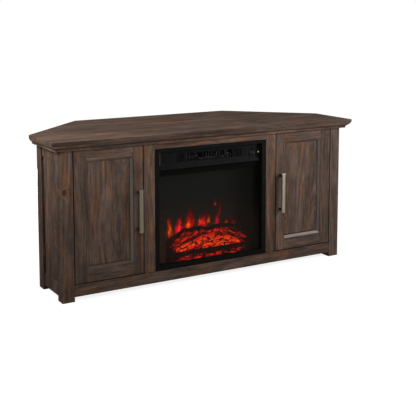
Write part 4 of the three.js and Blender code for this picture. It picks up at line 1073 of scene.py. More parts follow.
def grown_mesh(
    name: str, points: Iterable[Triple], tree: bpy.types.NodeTree, feeds: dict[str, object],
) -> Mesh:
    """Runs a geometry tree on bare points and keeps its plain result.

    Args:
        name: the name of the mesh.
        points: the places that the tree starts from.
        tree: the geometry tree.
        feeds: values for the tree's named inputs.

    Returns:
        The finished mesh, with no modifier behind it.
    """
    start = bpy.data.meshes.new(f"{name}_points")
    start.from_pydata(list(points), [], [])
    holder = show(f"{name}_holder", start)
    modifier = holder.modifiers.new("growth", "NODES")
    modifier.node_group = tree
    for item in tree.interface.items_tree:
        if item.item_type == "SOCKET" and item.in_out == "INPUT" and item.name in feeds:
            modifier[item.identifier] = feeds[item.name]
    seen = holder.evaluated_get(bpy.context.evaluated_depsgraph_get())
    mesh = bpy.data.meshes.new_from_object(seen)
    mesh.name = name
    for index in reversed(range(len(mesh.materials))):
        if mesh.materials[index] is None:
            mesh.materials.pop(index=index)
    bpy.data.objects.remove(holder)
    bpy.data.meshes.remove(start)
    return mesh


class Hardware(Enum):
    """The shapes that repeat over the stand. A geometry tree puts each on its points."""

    SCREW = "cross-headed screws"
    PIN = "shelf pins"
    RING = "hole rings"
    EYELET = "pin sockets"
    ROD = "thin rods"
    COAL = "loose coals"

    def fit(
        self, name: str, points: Iterable[Triple], facing: Triple, size: Sequence[float], finish: Material,
        slot: Slot, body: Body = Body.STAND,
    ) -> None:
        """Makes one piece of the shape, repeated on every point.

        Args:
            name: the piece's name.
            points: where the shapes stand.
            facing: the way they face.
            size: their radius, how far they reach the way they face, and the width of a ring's band.
            finish: their material.
            slot: the record's slot for their finish, passed on to new_piece, which does not use it.
            body: the body that they ride on.
        """
        tree = bpy.data.node_groups.get(self.value) or HardwareTree(self).tree
        feeds = dict(zip(HardwareTree.SIZES, (*size, 0.0)), Facing=facing, Finish=finish)
        new_piece(name, grown_mesh(name, points, tree, feeds), body, slot)


class HardwareTree(NodeSheet):
    """The geometry tree of one kind of hardware, whose shape is written standing on the XY plane."""

    SIZES = ("Radius", "Rise", "Width")
    ROUND_SIDES, RING_SIDES, ROD_SIDES = 20, 40, 10
    DOME = 0.62
    CROSS_LENGTH, CROSS_WIDTH, CROSS_DEPTH = 1.05, 0.24, 1.1
    COLLAR_RADIUS, COLLAR_RISE = 1.5, 0.16
    FLOOR_RISE = 0.2
    LUMPS, LUMP_REACH = ((260.0, 260.0, 260.0), 1.0), 1.5
    # The least and the most that a chance may give, by the number of the node's input.
    COAL_HEATS = {2: 0.0, 3: 0.95, "Seed": 5}
    COAL_TURNS = {0: (0.0, 0.0, 0.0), 1: (6.2, 6.2, 6.2), "Seed": 7}
    COAL_SIZES = {0: (0.6, 0.5, 0.45), 1: (1.5, 1.0, 1.0), "Seed": 9}

    def __init__(self, kind: Hardware) -> None:
        """Writes the tree.

        Args:
            kind: the shape that it puts on every point.
        """
        sockets = {"Geometry": "Geometry", "Facing": "Vector", "Finish": "Material"}
        sockets |= dict.fromkeys(self.SIZES, "Float")
        super().__init__(new_group(kind.value, "GeometryNodeTree", sockets, {"Geometry": "Geometry"}))
        given = self.node("NodeGroupInput").outputs
        self.radius, self.rise, self.width = (given[label] for label in self.SIZES)
        feeds = {"Vector": given["Facing"]}
        turn = self.node("FunctionNodeAlignRotationToVector", feeds, axis="Z").outputs[0]
        points = self._shape("MeshToPoints", {"Mesh": given["Geometry"]})
        writers = {
            Hardware.SCREW: self._screw, Hardware.PIN: self._pin, Hardware.RING: self._ring,
            Hardware.EYELET: self._eyelet, Hardware.ROD: self._rod, Hardware.COAL: self._coal,
        }
        feeds = {"Points": points, "Instance": writers[kind](), "Rotation": turn}
        if kind is Hardware.COAL:
            feeds |= self._coal_chances(points)
        real = self._shape("RealizeInstances", {"Geometry": self._shape("InstanceOnPoints", feeds)})
        dressed = self._shape("SetMaterial", {"Geometry": real, "Material": given["Finish"]})
        self.node("NodeGroupOutput", {"Geometry": dressed})

    def _shape(
        self, kind: str, feeds: Feeds | None = None, several: Sequence[Socket] = (), **settings: object,
    ) -> Socket:
        """Adds a geometry node.

        Args:
            kind: the kind of geometry node.
            feeds: what goes into its inputs.
            several: shapes that go into its one input that takes many.
            **settings: the node's own settings.

        Returns:
            Its result.
        """
        made = self.node(f"GeometryNode{kind}", feeds, **settings)
        for shape in several:
            many = next(socket for socket in made.inputs if socket.is_multi_input)
            self.tree.links.new(shape, many)
        return made.outputs[0]

    def _cylinder(self, sides: int, radius: Feed, depth: Feed) -> Socket:
        """Returns a cylinder about the origin."""
        return self._shape("MeshCylinder", {"Vertices": sides, "Radius": radius, "Depth": depth})

    def _lifted(self, shape: Feed, height: Feed) -> Socket:
        """Returns a shape moved along Z."""
        return self._shape("Transform", {"Geometry": shape, "Translation": self.joined(0.0, 0.0, height)})

    def _screw(self) -> Socket:
        """Writes a domed head with a cross cut into it.

        Returns:
            The head.
        """
        crown = self._shape("MeshCone", {
            "Vertices": self.ROUND_SIDES, "Side Segments": 1, "Radius Bottom": self.radius,
            "Radius Top": self.times(self.radius, self.DOME), "Depth": self.rise,
        })
        long, thin = self.times(self.radius, self.CROSS_LENGTH), self.times(self.radius, self.CROSS_WIDTH)
        deep = self.times(self.rise, self.CROSS_DEPTH)
        sizes = (self.joined(long, thin, deep), self.joined(thin, long, deep))
        bars = [self._shape("MeshCube", {"Size": size}) for size in sizes]
        cross = self._lifted(self._shape("MeshBoolean", several=bars, operation="UNION"), self.rise)
        return self._shape("MeshBoolean", {0: crown}, several=[cross], operation="DIFFERENCE")

    def _pin(self) -> Socket:
        """Writes a round stem with a collar at its foot.

        Returns:
            The pin.
        """
        thin = self.times(self.rise, self.COLLAR_RISE)
        collar = self._cylinder(self.ROUND_SIDES, self.times(self.radius, self.COLLAR_RADIUS), thin)
        stem = self._cylinder(self.ROUND_SIDES, self.radius, self.rise)
        stem = self._lifted(stem, self.times(self.rise, 0.5))
        return self._shape("JoinGeometry", several=[stem, self._lifted(collar, self.times(thin, 0.5))])

    def _ring(self) -> Socket:
        """Writes a flat ring.

        Returns:
            The ring.
        """
        outer = self._cylinder(self.RING_SIDES, self.math("ADD", self.radius, self.width), self.rise)
        inner = self._cylinder(self.RING_SIDES, self.radius, self.times(self.rise, 3.0))
        cut = self._shape("MeshBoolean", {0: outer}, several=[inner], operation="DIFFERENCE")
        return self._lifted(cut, self.times(self.rise, 0.5))

    def _eyelet(self) -> Socket:
        """Writes a ring with a sunk floor inside it.

        Returns:
            The eyelet.
        """
        low = self.times(self.rise, self.FLOOR_RISE)
        radius = self.math("ADD", self.radius, self.times(self.width, 0.5))
        floor = self._lifted(self._cylinder(self.ROUND_SIDES, radius, low), self.times(low, 0.5))
        return self._shape("JoinGeometry", several=[self._ring(), floor])

    def _rod(self) -> Socket:
        """Returns a round rod centred on its point."""
        return self._cylinder(self.ROD_SIDES, self.radius, self.rise)

    def _coal(self) -> Socket:
        """Writes a broken lump.

        Returns:
            The lump.
        """
        ball = self._shape("MeshIcoSphere", {"Radius": self.radius, "Subdivisions": 3})
        lumps = self.noise(self._shape("InputPosition"), *self.LUMPS, part="Color")
        reach = self.times(self.radius, self.LUMP_REACH)
        shift = self.scaled(self.vector("SUBTRACT", lumps, (0.5, 0.5, 0.5)), reach)
        return self._shape("SetPosition", {"Geometry": ball, "Offset": shift})

    def _coal_chances(self, points: Feed) -> Feeds:
        """Gives each coal its own heat, turn and size, from fixed seeds.

        Args:
            points: the coals' points.

        Returns:
            The inputs that place the coals.
        """
        kind = "FunctionNodeRandomValue"
        heat = self.node(kind, self.COAL_HEATS, data_type="FLOAT").outputs[1]
        turn = self.node(kind, self.COAL_TURNS, data_type="FLOAT_VECTOR").outputs[0]
        size = self.node(kind, self.COAL_SIZES, data_type="FLOAT_VECTOR").outputs[0]
        feeds = {"Geometry": points, "Name": EmberBark.HEAT, "Value": heat}
        warm = self._shape("StoreNamedAttribute", feeds, data_type="FLOAT", domain="POINT")
        return {"Points": warm, "Rotation": turn, "Scale": size}


# ---------------------------------------------------------------- the woodwork


LEFTWARD_SLOPE = (-0.7071, -0.7071, 0.0)
UPWARD_SLOPE = (0.0, -0.7071, 0.7071)
ARRIS = (0.0088, 0.0034)


@dataclass
class Woodwork:
    """The top, frame, doors and inside boards, each with its own cut of walnut and softened edges."""

    nodes: dict[str, Piece]
    edge: float = 0.0009

    # Painted light in this table: some shades are raised or lowered for how light falls, as on the rail tops
    # and left moulding under the overhang, and a foot below 1 is painted shade towards the floor.
    BOARDS = (
        Board(
            "top_board", Grain.ALONG_X, -0.12, 1.12, fineness=0.55, rubbed=0.06, glaze=Glaze("-y", 0.42),
        ),
        Board("moulding_front", Grain.ALONG_X, -0.1),
        Board("moulding_left", Grain.ALONG_Y, -0.6, 1.35),
        Board("moulding_right", Grain.ALONG_Y),
        Board("leg_front_left", Grain.ALONG_Z, -0.05, 1.08, "+x", 0.72, (-0.559, -0.2207, 0.370)),
        Board("leg_front_right", Grain.ALONG_Z, -0.8, 1.05, "-x"),
        Board("leg_end_left", Grain.ALONG_Z, 0.0, 1.08, foot=0.75),
        Board("leg_end_right", Grain.ALONG_Z),
        Board("leg_back_left", Grain.ALONG_Z),
        Board("leg_back_right", Grain.ALONG_Z),
        Board("end_panel_left", Grain.ALONG_Z, 0.0, 1.25, foot=0.66),
        Board("end_panel_right", Grain.ALONG_Z),
        Board("front_rail_bottom", Grain.ALONG_X, 0.0, 0.92, "+z"),
        Board("front_rail_top", Grain.ALONG_X, 0.25, 1.05),
        Board("front_stile_left", Grain.ALONG_Z, 0.2, 1.08, "-x", 0.9),
        Board("front_stile_right", Grain.ALONG_Z, 0.4, 1.26, "+x", 0.52),
        Board("door_left_hinge_stile", Grain.ALONG_Z, -0.15, 1.06, "-x+z-z", 0.86),
        Board(
            "door_left_handle_stile", Grain.ALONG_Z, 0.0, 1.02, "+x+z-z", 0.74,
            dust=Dust(LEFTWARD_SLOPE, (0.150, 0.132, 0.120), 0.8), glaze=Glaze("-x", 0.42, *ARRIS),
        ),
        Board("door_left_panel", Grain.ALONG_Z, 0.0, 1.18, foot=0.82, glaze=Glaze("+x-z", 0.45)),
        Board("door_left_rail_top", Grain.ALONG_X, 0.0, 1.20, "+z"),
        Board(
            "door_left_rail_bottom", Grain.ALONG_X, 0.0, 0.84, "-z",
            dust=Dust(UPWARD_SLOPE, (0.062, 0.050, 0.043), 0.6),
        ),
        Board(
            "door_right_hinge_stile", Grain.ALONG_Z, -0.52, 0.96, "+x+z-z",
            dust=Dust(LEFTWARD_SLOPE, (0.135, 0.118, 0.106), 0.7), glaze=Glaze("-x", 0.40, *ARRIS),
        ),
        Board("door_right_handle_stile", Grain.ALONG_Z, -0.12, 1.0, "-x+z-z"),
        Board("door_right_panel", Grain.ALONG_Z, -0.12, glaze=Glaze("+x-z", 0.75)),
        Board("door_right_rail_top", Grain.ALONG_X, -0.12, 1.18, "+z"),
        Board(
            "door_right_rail_bottom", Grain.ALONG_X, -0.12, 1.0, "-z",
            dust=Dust(UPWARD_SLOPE, (0.27, 0.238, 0.222), 0.85),
        ),
        Board("floor_panel", Grain.ALONG_X, -0.1, 0.8),
        Board("partition_left", Grain.ALONG_Z, -0.1, 0.8),
        Board("partition_right", Grain.ALONG_Z, -0.1, 0.8),
        Board("shelf_left", Grain.ALONG_X, -0.1, 0.8),
        Board("shelf_right", Grain.ALONG_X, -0.1, 0.8),
        Board("back_panel_left", Grain.ALONG_Z, -0.1, 0.8),
        Board("back_panel_right", Grain.ALONG_Z, -0.1, 0.8),
    )
    PRESSED_BOARD = Speckled(
        "pressed board", (0.060, 0.038, 0.026), (0.105, 0.070, 0.048), smooth=0.6, rough=0.75, spots=520.0,
        depth=0.0001, specular=0.1,
    )

    def build(self) -> None:
        """Dresses every board."""
        looks = {board.node: Walnut(board, seed).material for seed, board in enumerate(self.BOARDS)}
        looks["back_panel_centre"] = self.PRESSED_BOARD.make()
        for name, look in looks.items():
            put(self.nodes[name], look)
            soften(self.nodes[name], self.edge)
        LOG.info("woodwork: %d boards dressed", len(looks))


# ---------------------------------------------------------------- doors and cupboards


@dataclass
class DoorFittings:
    """The hinges, pull and catch of one door, with their screws."""

    side: Side
    nodes: dict[str, Piece]
    finishes: Finishes

    # Each pull has its own tones, the right one lighter: painted light, for light falling more on the right.
    PULL_TONES = {
        Side.LEFT: ((0.22, 0.19, 0.135), (0.32, 0.285, 0.205)),
        Side.RIGHT: ((0.28, 0.25, 0.19), (0.40, 0.365, 0.285)),
    }
    PULL_EDGE = 0.0008
    BAR_DEPTH = 0.009
    HINGE_HEIGHTS = (0.1309, 0.4304)
    CUP, EAR_REACH, CUP_SCREW = (0.5035, -0.20095), 0.024, (0.0032, 0.0012)
    PLATE, PLATE_REACH, PLATE_SCREW = (0.5243, -0.19165), 0.0158, (0.0036, 0.0014)
    POST, POST_HEIGHTS, POST_SCREW = (0.2933, -0.20275), (0.21765, 0.34365), (0.0042, 0.0020)
    STRIKE = Block((0.297, -0.2027, 0.4880), (0.327, -0.2021, 0.5000), 0.0002)
    STRIKE_MIDDLE, STRIKE_SCREW = (0.312, -0.2021, 0.4955), (0.0022, 0.0002)
    CASE = Block((0.290, -0.2012, 0.4900), (0.334, -0.1880, 0.5045), 0.001)
    POLES = (
        Block((0.300, -0.2018, 0.4924), (0.324, -0.1978, 0.4936), 0.0002),
        Block((0.300, -0.2018, 0.4979), (0.324, -0.1978, 0.4991), 0.0002),
    )

    def build(self) -> None:
        """Dresses the door's metal and adds the screws and the catch."""
        tag, pull = self.side.tag, f"door_{self.side.tag}_handle"
        # The pull's posts, behind its bar, get painted shade.
        brushed = Speckled(
            f"brushed pull {tag}", *self.PULL_TONES[self.side], smooth=0.34, rough=0.5, spots=2400.0,
            depth=0.00003, specular=0.5, metallic=0.75, stretch=(1.0, 1.0, 0.02),
            dark_behind=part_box(pull)[0].y + self.BAR_DEPTH,
        )
        put(self.nodes[pull], brushed.make())
        soften(self.nodes[pull], self.PULL_EDGE)
        for name, node in self.nodes.items():
            if name.startswith("hinge") and tag in name:
                put(node, self.finishes.nickel)
        self._screws()
        self._catch()

    def _screws(self) -> None:
        """Adds the screws of the hinges and the pull."""
        (cup_x, cup_y), (plate_x, plate_y), (post_x, post_y) = self.CUP, self.PLATE, self.POST
        sign, door = self.side.value, self.side.door
        ends = [(z, end) for z in self.HINGE_HEIGHTS for end in (-1, 1)]
        ears = [(sign * cup_x, cup_y, z + end * self.EAR_REACH) for z, end in ends]
        plates = [(sign * plate_x, plate_y, z + end * self.PLATE_REACH) for z, end in ends]
        posts = [(sign * post_x, post_y, z) for z in self.POST_HEIGHTS]
        for name, points, facing, size, body in (
            ("cup_screws", ears, BACKWARD, self.CUP_SCREW, door),
            ("plate_screws", plates, (-sign, 0.0, 0.0), self.PLATE_SCREW, Body.STAND),
            ("pull_screws", posts, BACKWARD, self.POST_SCREW, door),
        ):
            name = f"{name}_{self.side.tag}"
            Hardware.SCREW.fit(name, points, facing, size, self.finishes.steel, Slot.HINGE_STEEL, body)

    def _catch(self) -> None:
        """Adds the magnetic catch under the top and its plate on the door."""
        side, tag, steel, slot = self.side, self.side.tag, self.finishes.steel, Slot.HINGE_STEEL
        black = self.finishes.black_plastic
        self.STRIKE.build(f"strike_plate_{tag}", steel, slot, side.door, side)
        self.CASE.build(f"catch_case_{tag}", black, Slot.BLACK_PLASTIC, side=side)
        for index, pole in enumerate(self.POLES):
            pole.build(f"catch_pole_{tag}_{index}", steel, slot, side=side)
        x, y, z = self.STRIKE_MIDDLE
        name, middle = f"strike_screw_{tag}", [(side.value * x, y, z)]
        Hardware.SCREW.fit(name, middle, BACKWARD, self.STRIKE_SCREW, steel, slot, side.door)


@dataclass
class CupboardFittings:
    """The shelf pins, their spare sockets, and the rings of the cable holes in one cupboard."""

    side: Side
    finishes: Finishes

    WALLS = (("inner", 0.251, (-0.125, 0.125), 1), ("outer", 0.5493, (-0.150, -0.072), -1))
    PIN_HEIGHT, PIN = 0.26885, (0.0026, 0.009)
    SOCKET_HEIGHTS = (0.1729, 0.2049, 0.2369, 0.3089, 0.3409, 0.3729)
    SOCKET = (0.0026, 0.0006, 0.0012)
    HOLE, HOLE_HEIGHTS, HOLE_RING = (0.45807, 0.10584), (0.1246, 0.4297), (0.0253, 0.0016, 0.0045)
    PANEL_ENDS = ((0.3538, 0.2101), (0.5666, -0.0027))
    PANEL_SCREWS = ((0.10, 0.049), (0.37, 0.049), (0.63, 0.049), (0.90, 0.049), (0.16, 0.279), (0.84, 0.279))
    PANEL_SCREW = (0.0035, 0.0014)

    def build(self) -> None:
        """Adds the pins, sockets, rings and panel screws."""
        sign, shared = self.side.value, self.finishes
        for wall, x, depths, way in self.WALLS:
            tag, facing = f"{self.side.tag}_{wall}", (sign * way, 0.0, 0.0)
            pins = [(sign * x, y, self.PIN_HEIGHT) for y in depths]
            Hardware.PIN.fit(f"shelf_pins_{tag}", pins, facing, self.PIN, shared.nickel, Slot.HINGE_STEEL)
            sockets = [(sign * x, y, z) for y in depths for z in self.SOCKET_HEIGHTS]
            name = f"pin_sockets_{tag}"
            Hardware.EYELET.fit(name, sockets, facing, self.SOCKET, shared.dark_screw, Slot.BLACK_PLASTIC)
        out = (sign * math.sqrt(0.5), math.sqrt(0.5), 0.0)
        holes = [(sign * self.HOLE[0], self.HOLE[1], z) for z in self.HOLE_HEIGHTS]
        name = f"cable_rings_{self.side.tag}"
        Hardware.RING.fit(name, holes, out, self.HOLE_RING, shared.black_plastic, Slot.BLACK_PLASTIC)
        (x0, y0), (x1, y1) = self.PANEL_ENDS
        screws = [
            (sign * (x0 + (x1 - x0) * share), y0 + (y1 - y0) * share, z) for share, z in self.PANEL_SCREWS
        ]
        name = f"panel_screws_{self.side.tag}"
        Hardware.SCREW.fit(name, screws, out, self.PANEL_SCREW, shared.dark_screw, Slot.BLACK_SHEET)


@dataclass
class BackFittings:
    """The screws that hold the middle back panel to the floor and the partitions."""

    finishes: Finishes

    FACE = 0.24025
    FLOOR_ROW, FLOOR_PLACES = 0.049, (-0.2, -0.1, 0.0, 0.1, 0.2)
    PARTITION_X, PARTITION_ROWS = 0.2435, (0.10, 0.19, 0.28, 0.37, 0.47)
    BACK_SCREW = (0.0035, 0.0014)

    def build(self) -> None:
        """Adds the screws."""
        points = [(x, self.FACE, self.FLOOR_ROW) for x in self.FLOOR_PLACES]
        points += [(sign * self.PARTITION_X, self.FACE, z) for sign in (-1, 1) for z in self.PARTITION_ROWS]
        brass = self.finishes.brass
        Hardware.SCREW.fit("back_screws", points, BACKWARD, self.BACK_SCREW, brass, Slot.BARE_STEEL)


# ---------------------------------------------------------------- the fire


@dataclass
class FireInsert:
    """The electric fire: finishes of its sheet metal and plastic, and the small parts of its header."""

    nodes: dict[str, Piece]
    finishes: Finishes

    FACE = -0.20195
    OUTLET_MIDDLE, OUTLET_HEIGHT = 0.4434, 0.031
    RIB_START, RIB_PITCH, RIB_COUNT, RIB_RADIUS = -0.1885, 0.0075, 7, 0.0008
    STRIP_X, STRIP_SPAN, STRIP_RADIUS = -0.2015, (0.4245, 0.4665), 0.0022
    LAMP_X, LAMP_HEIGHT, BEZEL = 0.2065, 0.4379, (0.0030, 0.0007, 0.0008)
    EYE_HEIGHT, EYE = 0.4485, (0.0022, 0.0014)
    WIRE_START, WIRE_PITCH, WIRE_COUNT = (-0.0925, -0.1945, 0.4405), 0.0062, 8
    WIRE, WIRE_LEAN = (0.0005, 0.021), 0.35
    DEFLECTOR = Block((-0.046, -0.1935, 0.4312), (0.064, -0.1925, 0.4352), 0.0003)
    CUTOUT_PLACE, CUTOUT = (0.079, -0.1895, 0.4375), (0.0055, 0.0045)
    TAB_XS, TAB_DEPTH, TAB_HEIGHTS, TAB = (0.0700, 0.0885), -0.1925, (0.4350, 0.4400), (0.0009, 0.009)

    SHEET_EDGE = 0.0005
    SWITCH = Speckled(
        "switch plastic", (0.0022, 0.0022, 0.0022), (0.004, 0.004, 0.004), smooth=0.35, rough=0.5,
        spots=900.0, depth=0.00001, specular=0.04,
    )
    HEATED = Speckled(
        "heated steel", (0.05, 0.042, 0.038), (0.13, 0.12, 0.115), smooth=0.3, rough=0.5, spots=260.0,
        depth=0.00003, specular=0.5, metallic=0.9, stretch=(1.0, 1.0, 0.2),
    )
    HOUSING = Speckled("black sheet by the embers", **POWDER_COAT, stray_light=(0.010, 0.0070, 0.0055))
    SATIN = Speckled(
        "satin strip", (0.026, 0.024, 0.020), (0.040, 0.037, 0.031), smooth=0.35, rough=0.5, spots=900.0,
        depth=0.00001, specular=0.1,
    )
    RECEIVER = Speckled(
        "receiver eye", (0.010, 0.014, 0.035), (0.020, 0.028, 0.065), smooth=0.1, rough=0.2, spots=600.0,
        depth=0.00001, specular=0.8, coat=0.5,
    )
    # A steel darker than the bright steel, for the guard wires, deflector and cut-out in the outlet.
    DARK_STEEL = Speckled(
        "dusty steel", (0.030, 0.030, 0.031), (0.075, 0.075, 0.077), smooth=0.35, rough=0.5, spots=500.0,
        depth=0.00002, specular=0.4, metallic=0.8,
    )

    def build(self) -> None:
        """Dresses the insert's nodes and adds the header's parts."""
        shared, switch = self.finishes, self.SWITCH.make()
        looks = {
            "insert_trim": shared.black_sheet, "insert_housing": self.HOUSING.make(),
            "outlet_grille": shared.black_sheet, "insert_header": shared.black_plastic,
            "blower_wheel": shared.black_plastic, "power_inlet": shared.black_plastic,
            "switch_power": switch, "switch_heat": switch, "heater_element": self.HEATED.make(),
            "blower_motor": shared.steel, "spindle_motor": shared.steel, "flame_spindle": shared.steel,
            "indicator_lens": Glow("lit lamp", (0.3, 0.12, 0.04), (1.0, 0.42, 0.14), strength=0.55).make(),
            "insert_glass": SmokedGlass("smoked glass", clear=0.68, print_foot=0.383).make(),
            "flame_screen": FlameScreen("flame screen", FLAMES).make(),
        }
        for name, look in looks.items():
            put(self.nodes[name], look)
        for name in ("insert_trim", "insert_header"):
            soften(self.nodes[name], self.SHEET_EDGE)
        self._header()
        self._outlet()

    def _header(self) -> None:
        """Adds the ribs, the end strip, the lamp's bezel and the remote receiver's eye."""
        face, shared, plastic = self.FACE, self.finishes, Slot.BLACK_PLASTIC
        xs = [self.RIB_START + index * self.RIB_PITCH for index in range(self.RIB_COUNT)]
        ribs, rib = [(x, face, self.OUTLET_MIDDLE) for x in xs], (self.RIB_RADIUS, self.OUTLET_HEIGHT)
        Hardware.ROD.fit("header_ribs", ribs, UP, rib, shared.black_plastic, plastic)
        low, high = self.STRIP_SPAN
        strip, size = [(self.STRIP_X, face, (low + high) / 2)], (self.STRIP_RADIUS, high - low)
        Hardware.ROD.fit("header_end_strip", strip, UP, size, self.SATIN.make(), plastic)
        bezel = [(self.LAMP_X, face, self.LAMP_HEIGHT)]
        Hardware.RING.fit("lamp_bezel", bezel, FORWARD, self.BEZEL, shared.nickel, Slot.BARE_STEEL)
        eye = [(self.LAMP_X, face, self.EYE_HEIGHT)]
        Hardware.PIN.fit("receiver_eye", eye, FORWARD, self.EYE, self.RECEIVER.make(), plastic)

    def _outlet(self) -> None:
        """Adds what shows through the outlet: a guard of crossed wires, a deflector and a cut-out."""
        steel, bare = self.DARK_STEEL.make(), Slot.BARE_STEEL
        x, y, z = self.WIRE_START
        wires = [(x + index * self.WIRE_PITCH, y, z) for index in range(self.WIRE_COUNT)]
        for name, lean in (("guard_wires_rising", self.WIRE_LEAN), ("guard_wires_falling", -self.WIRE_LEAN)):
            Hardware.ROD.fit(name, wires, (lean, 0.0, 1.0), self.WIRE, steel, bare)
        self.DEFLECTOR.build("outlet_deflector", steel, bare)
        Hardware.PIN.fit("thermal_cutout", [self.CUTOUT_PLACE], FORWARD, self.CUTOUT, steel, bare)
        tabs = [(x, self.TAB_DEPTH, z) for x in self.TAB_XS for z in self.TAB_HEIGHTS]
        Hardware.ROD.fit("cutout_tabs", tabs, (1.0, 0.0, 0.0), self.TAB, steel, bare)


@dataclass(frozen=True)
class BedLog:
    """A log on the bed's slope: its line as places across and up the slope, its size and its heat."""

    line: tuple[Pair, ...]
    radius: float
    heat_start: float
    heat_end: float


@dataclass
class Section:
    """One section of the bed, from its front foot over the ridge to its back foot."""

    points: list[Triple]
    heats: list[float]
    barks: list[Pair]

    def add(self, point: Triple, heat: float, bark: Pair) -> None:
        """Adds a point with its heat and its place on the bark map."""
        self.points.append(point)
        self.heats.append(heat)
        self.barks.append(bark)


def unit(value: float) -> float:
    """Returns a value kept between 0 and 1."""
    return min(1.0, max(0.0, value))


def wave(x: float, y: float, spots: Triple) -> float:
    """Returns a smooth noise between -1 and 1, by its spots to the metre each way and its layer."""
    across, up, layer = spots
    return noise.noise(Vector((x * across, y * up, layer)))


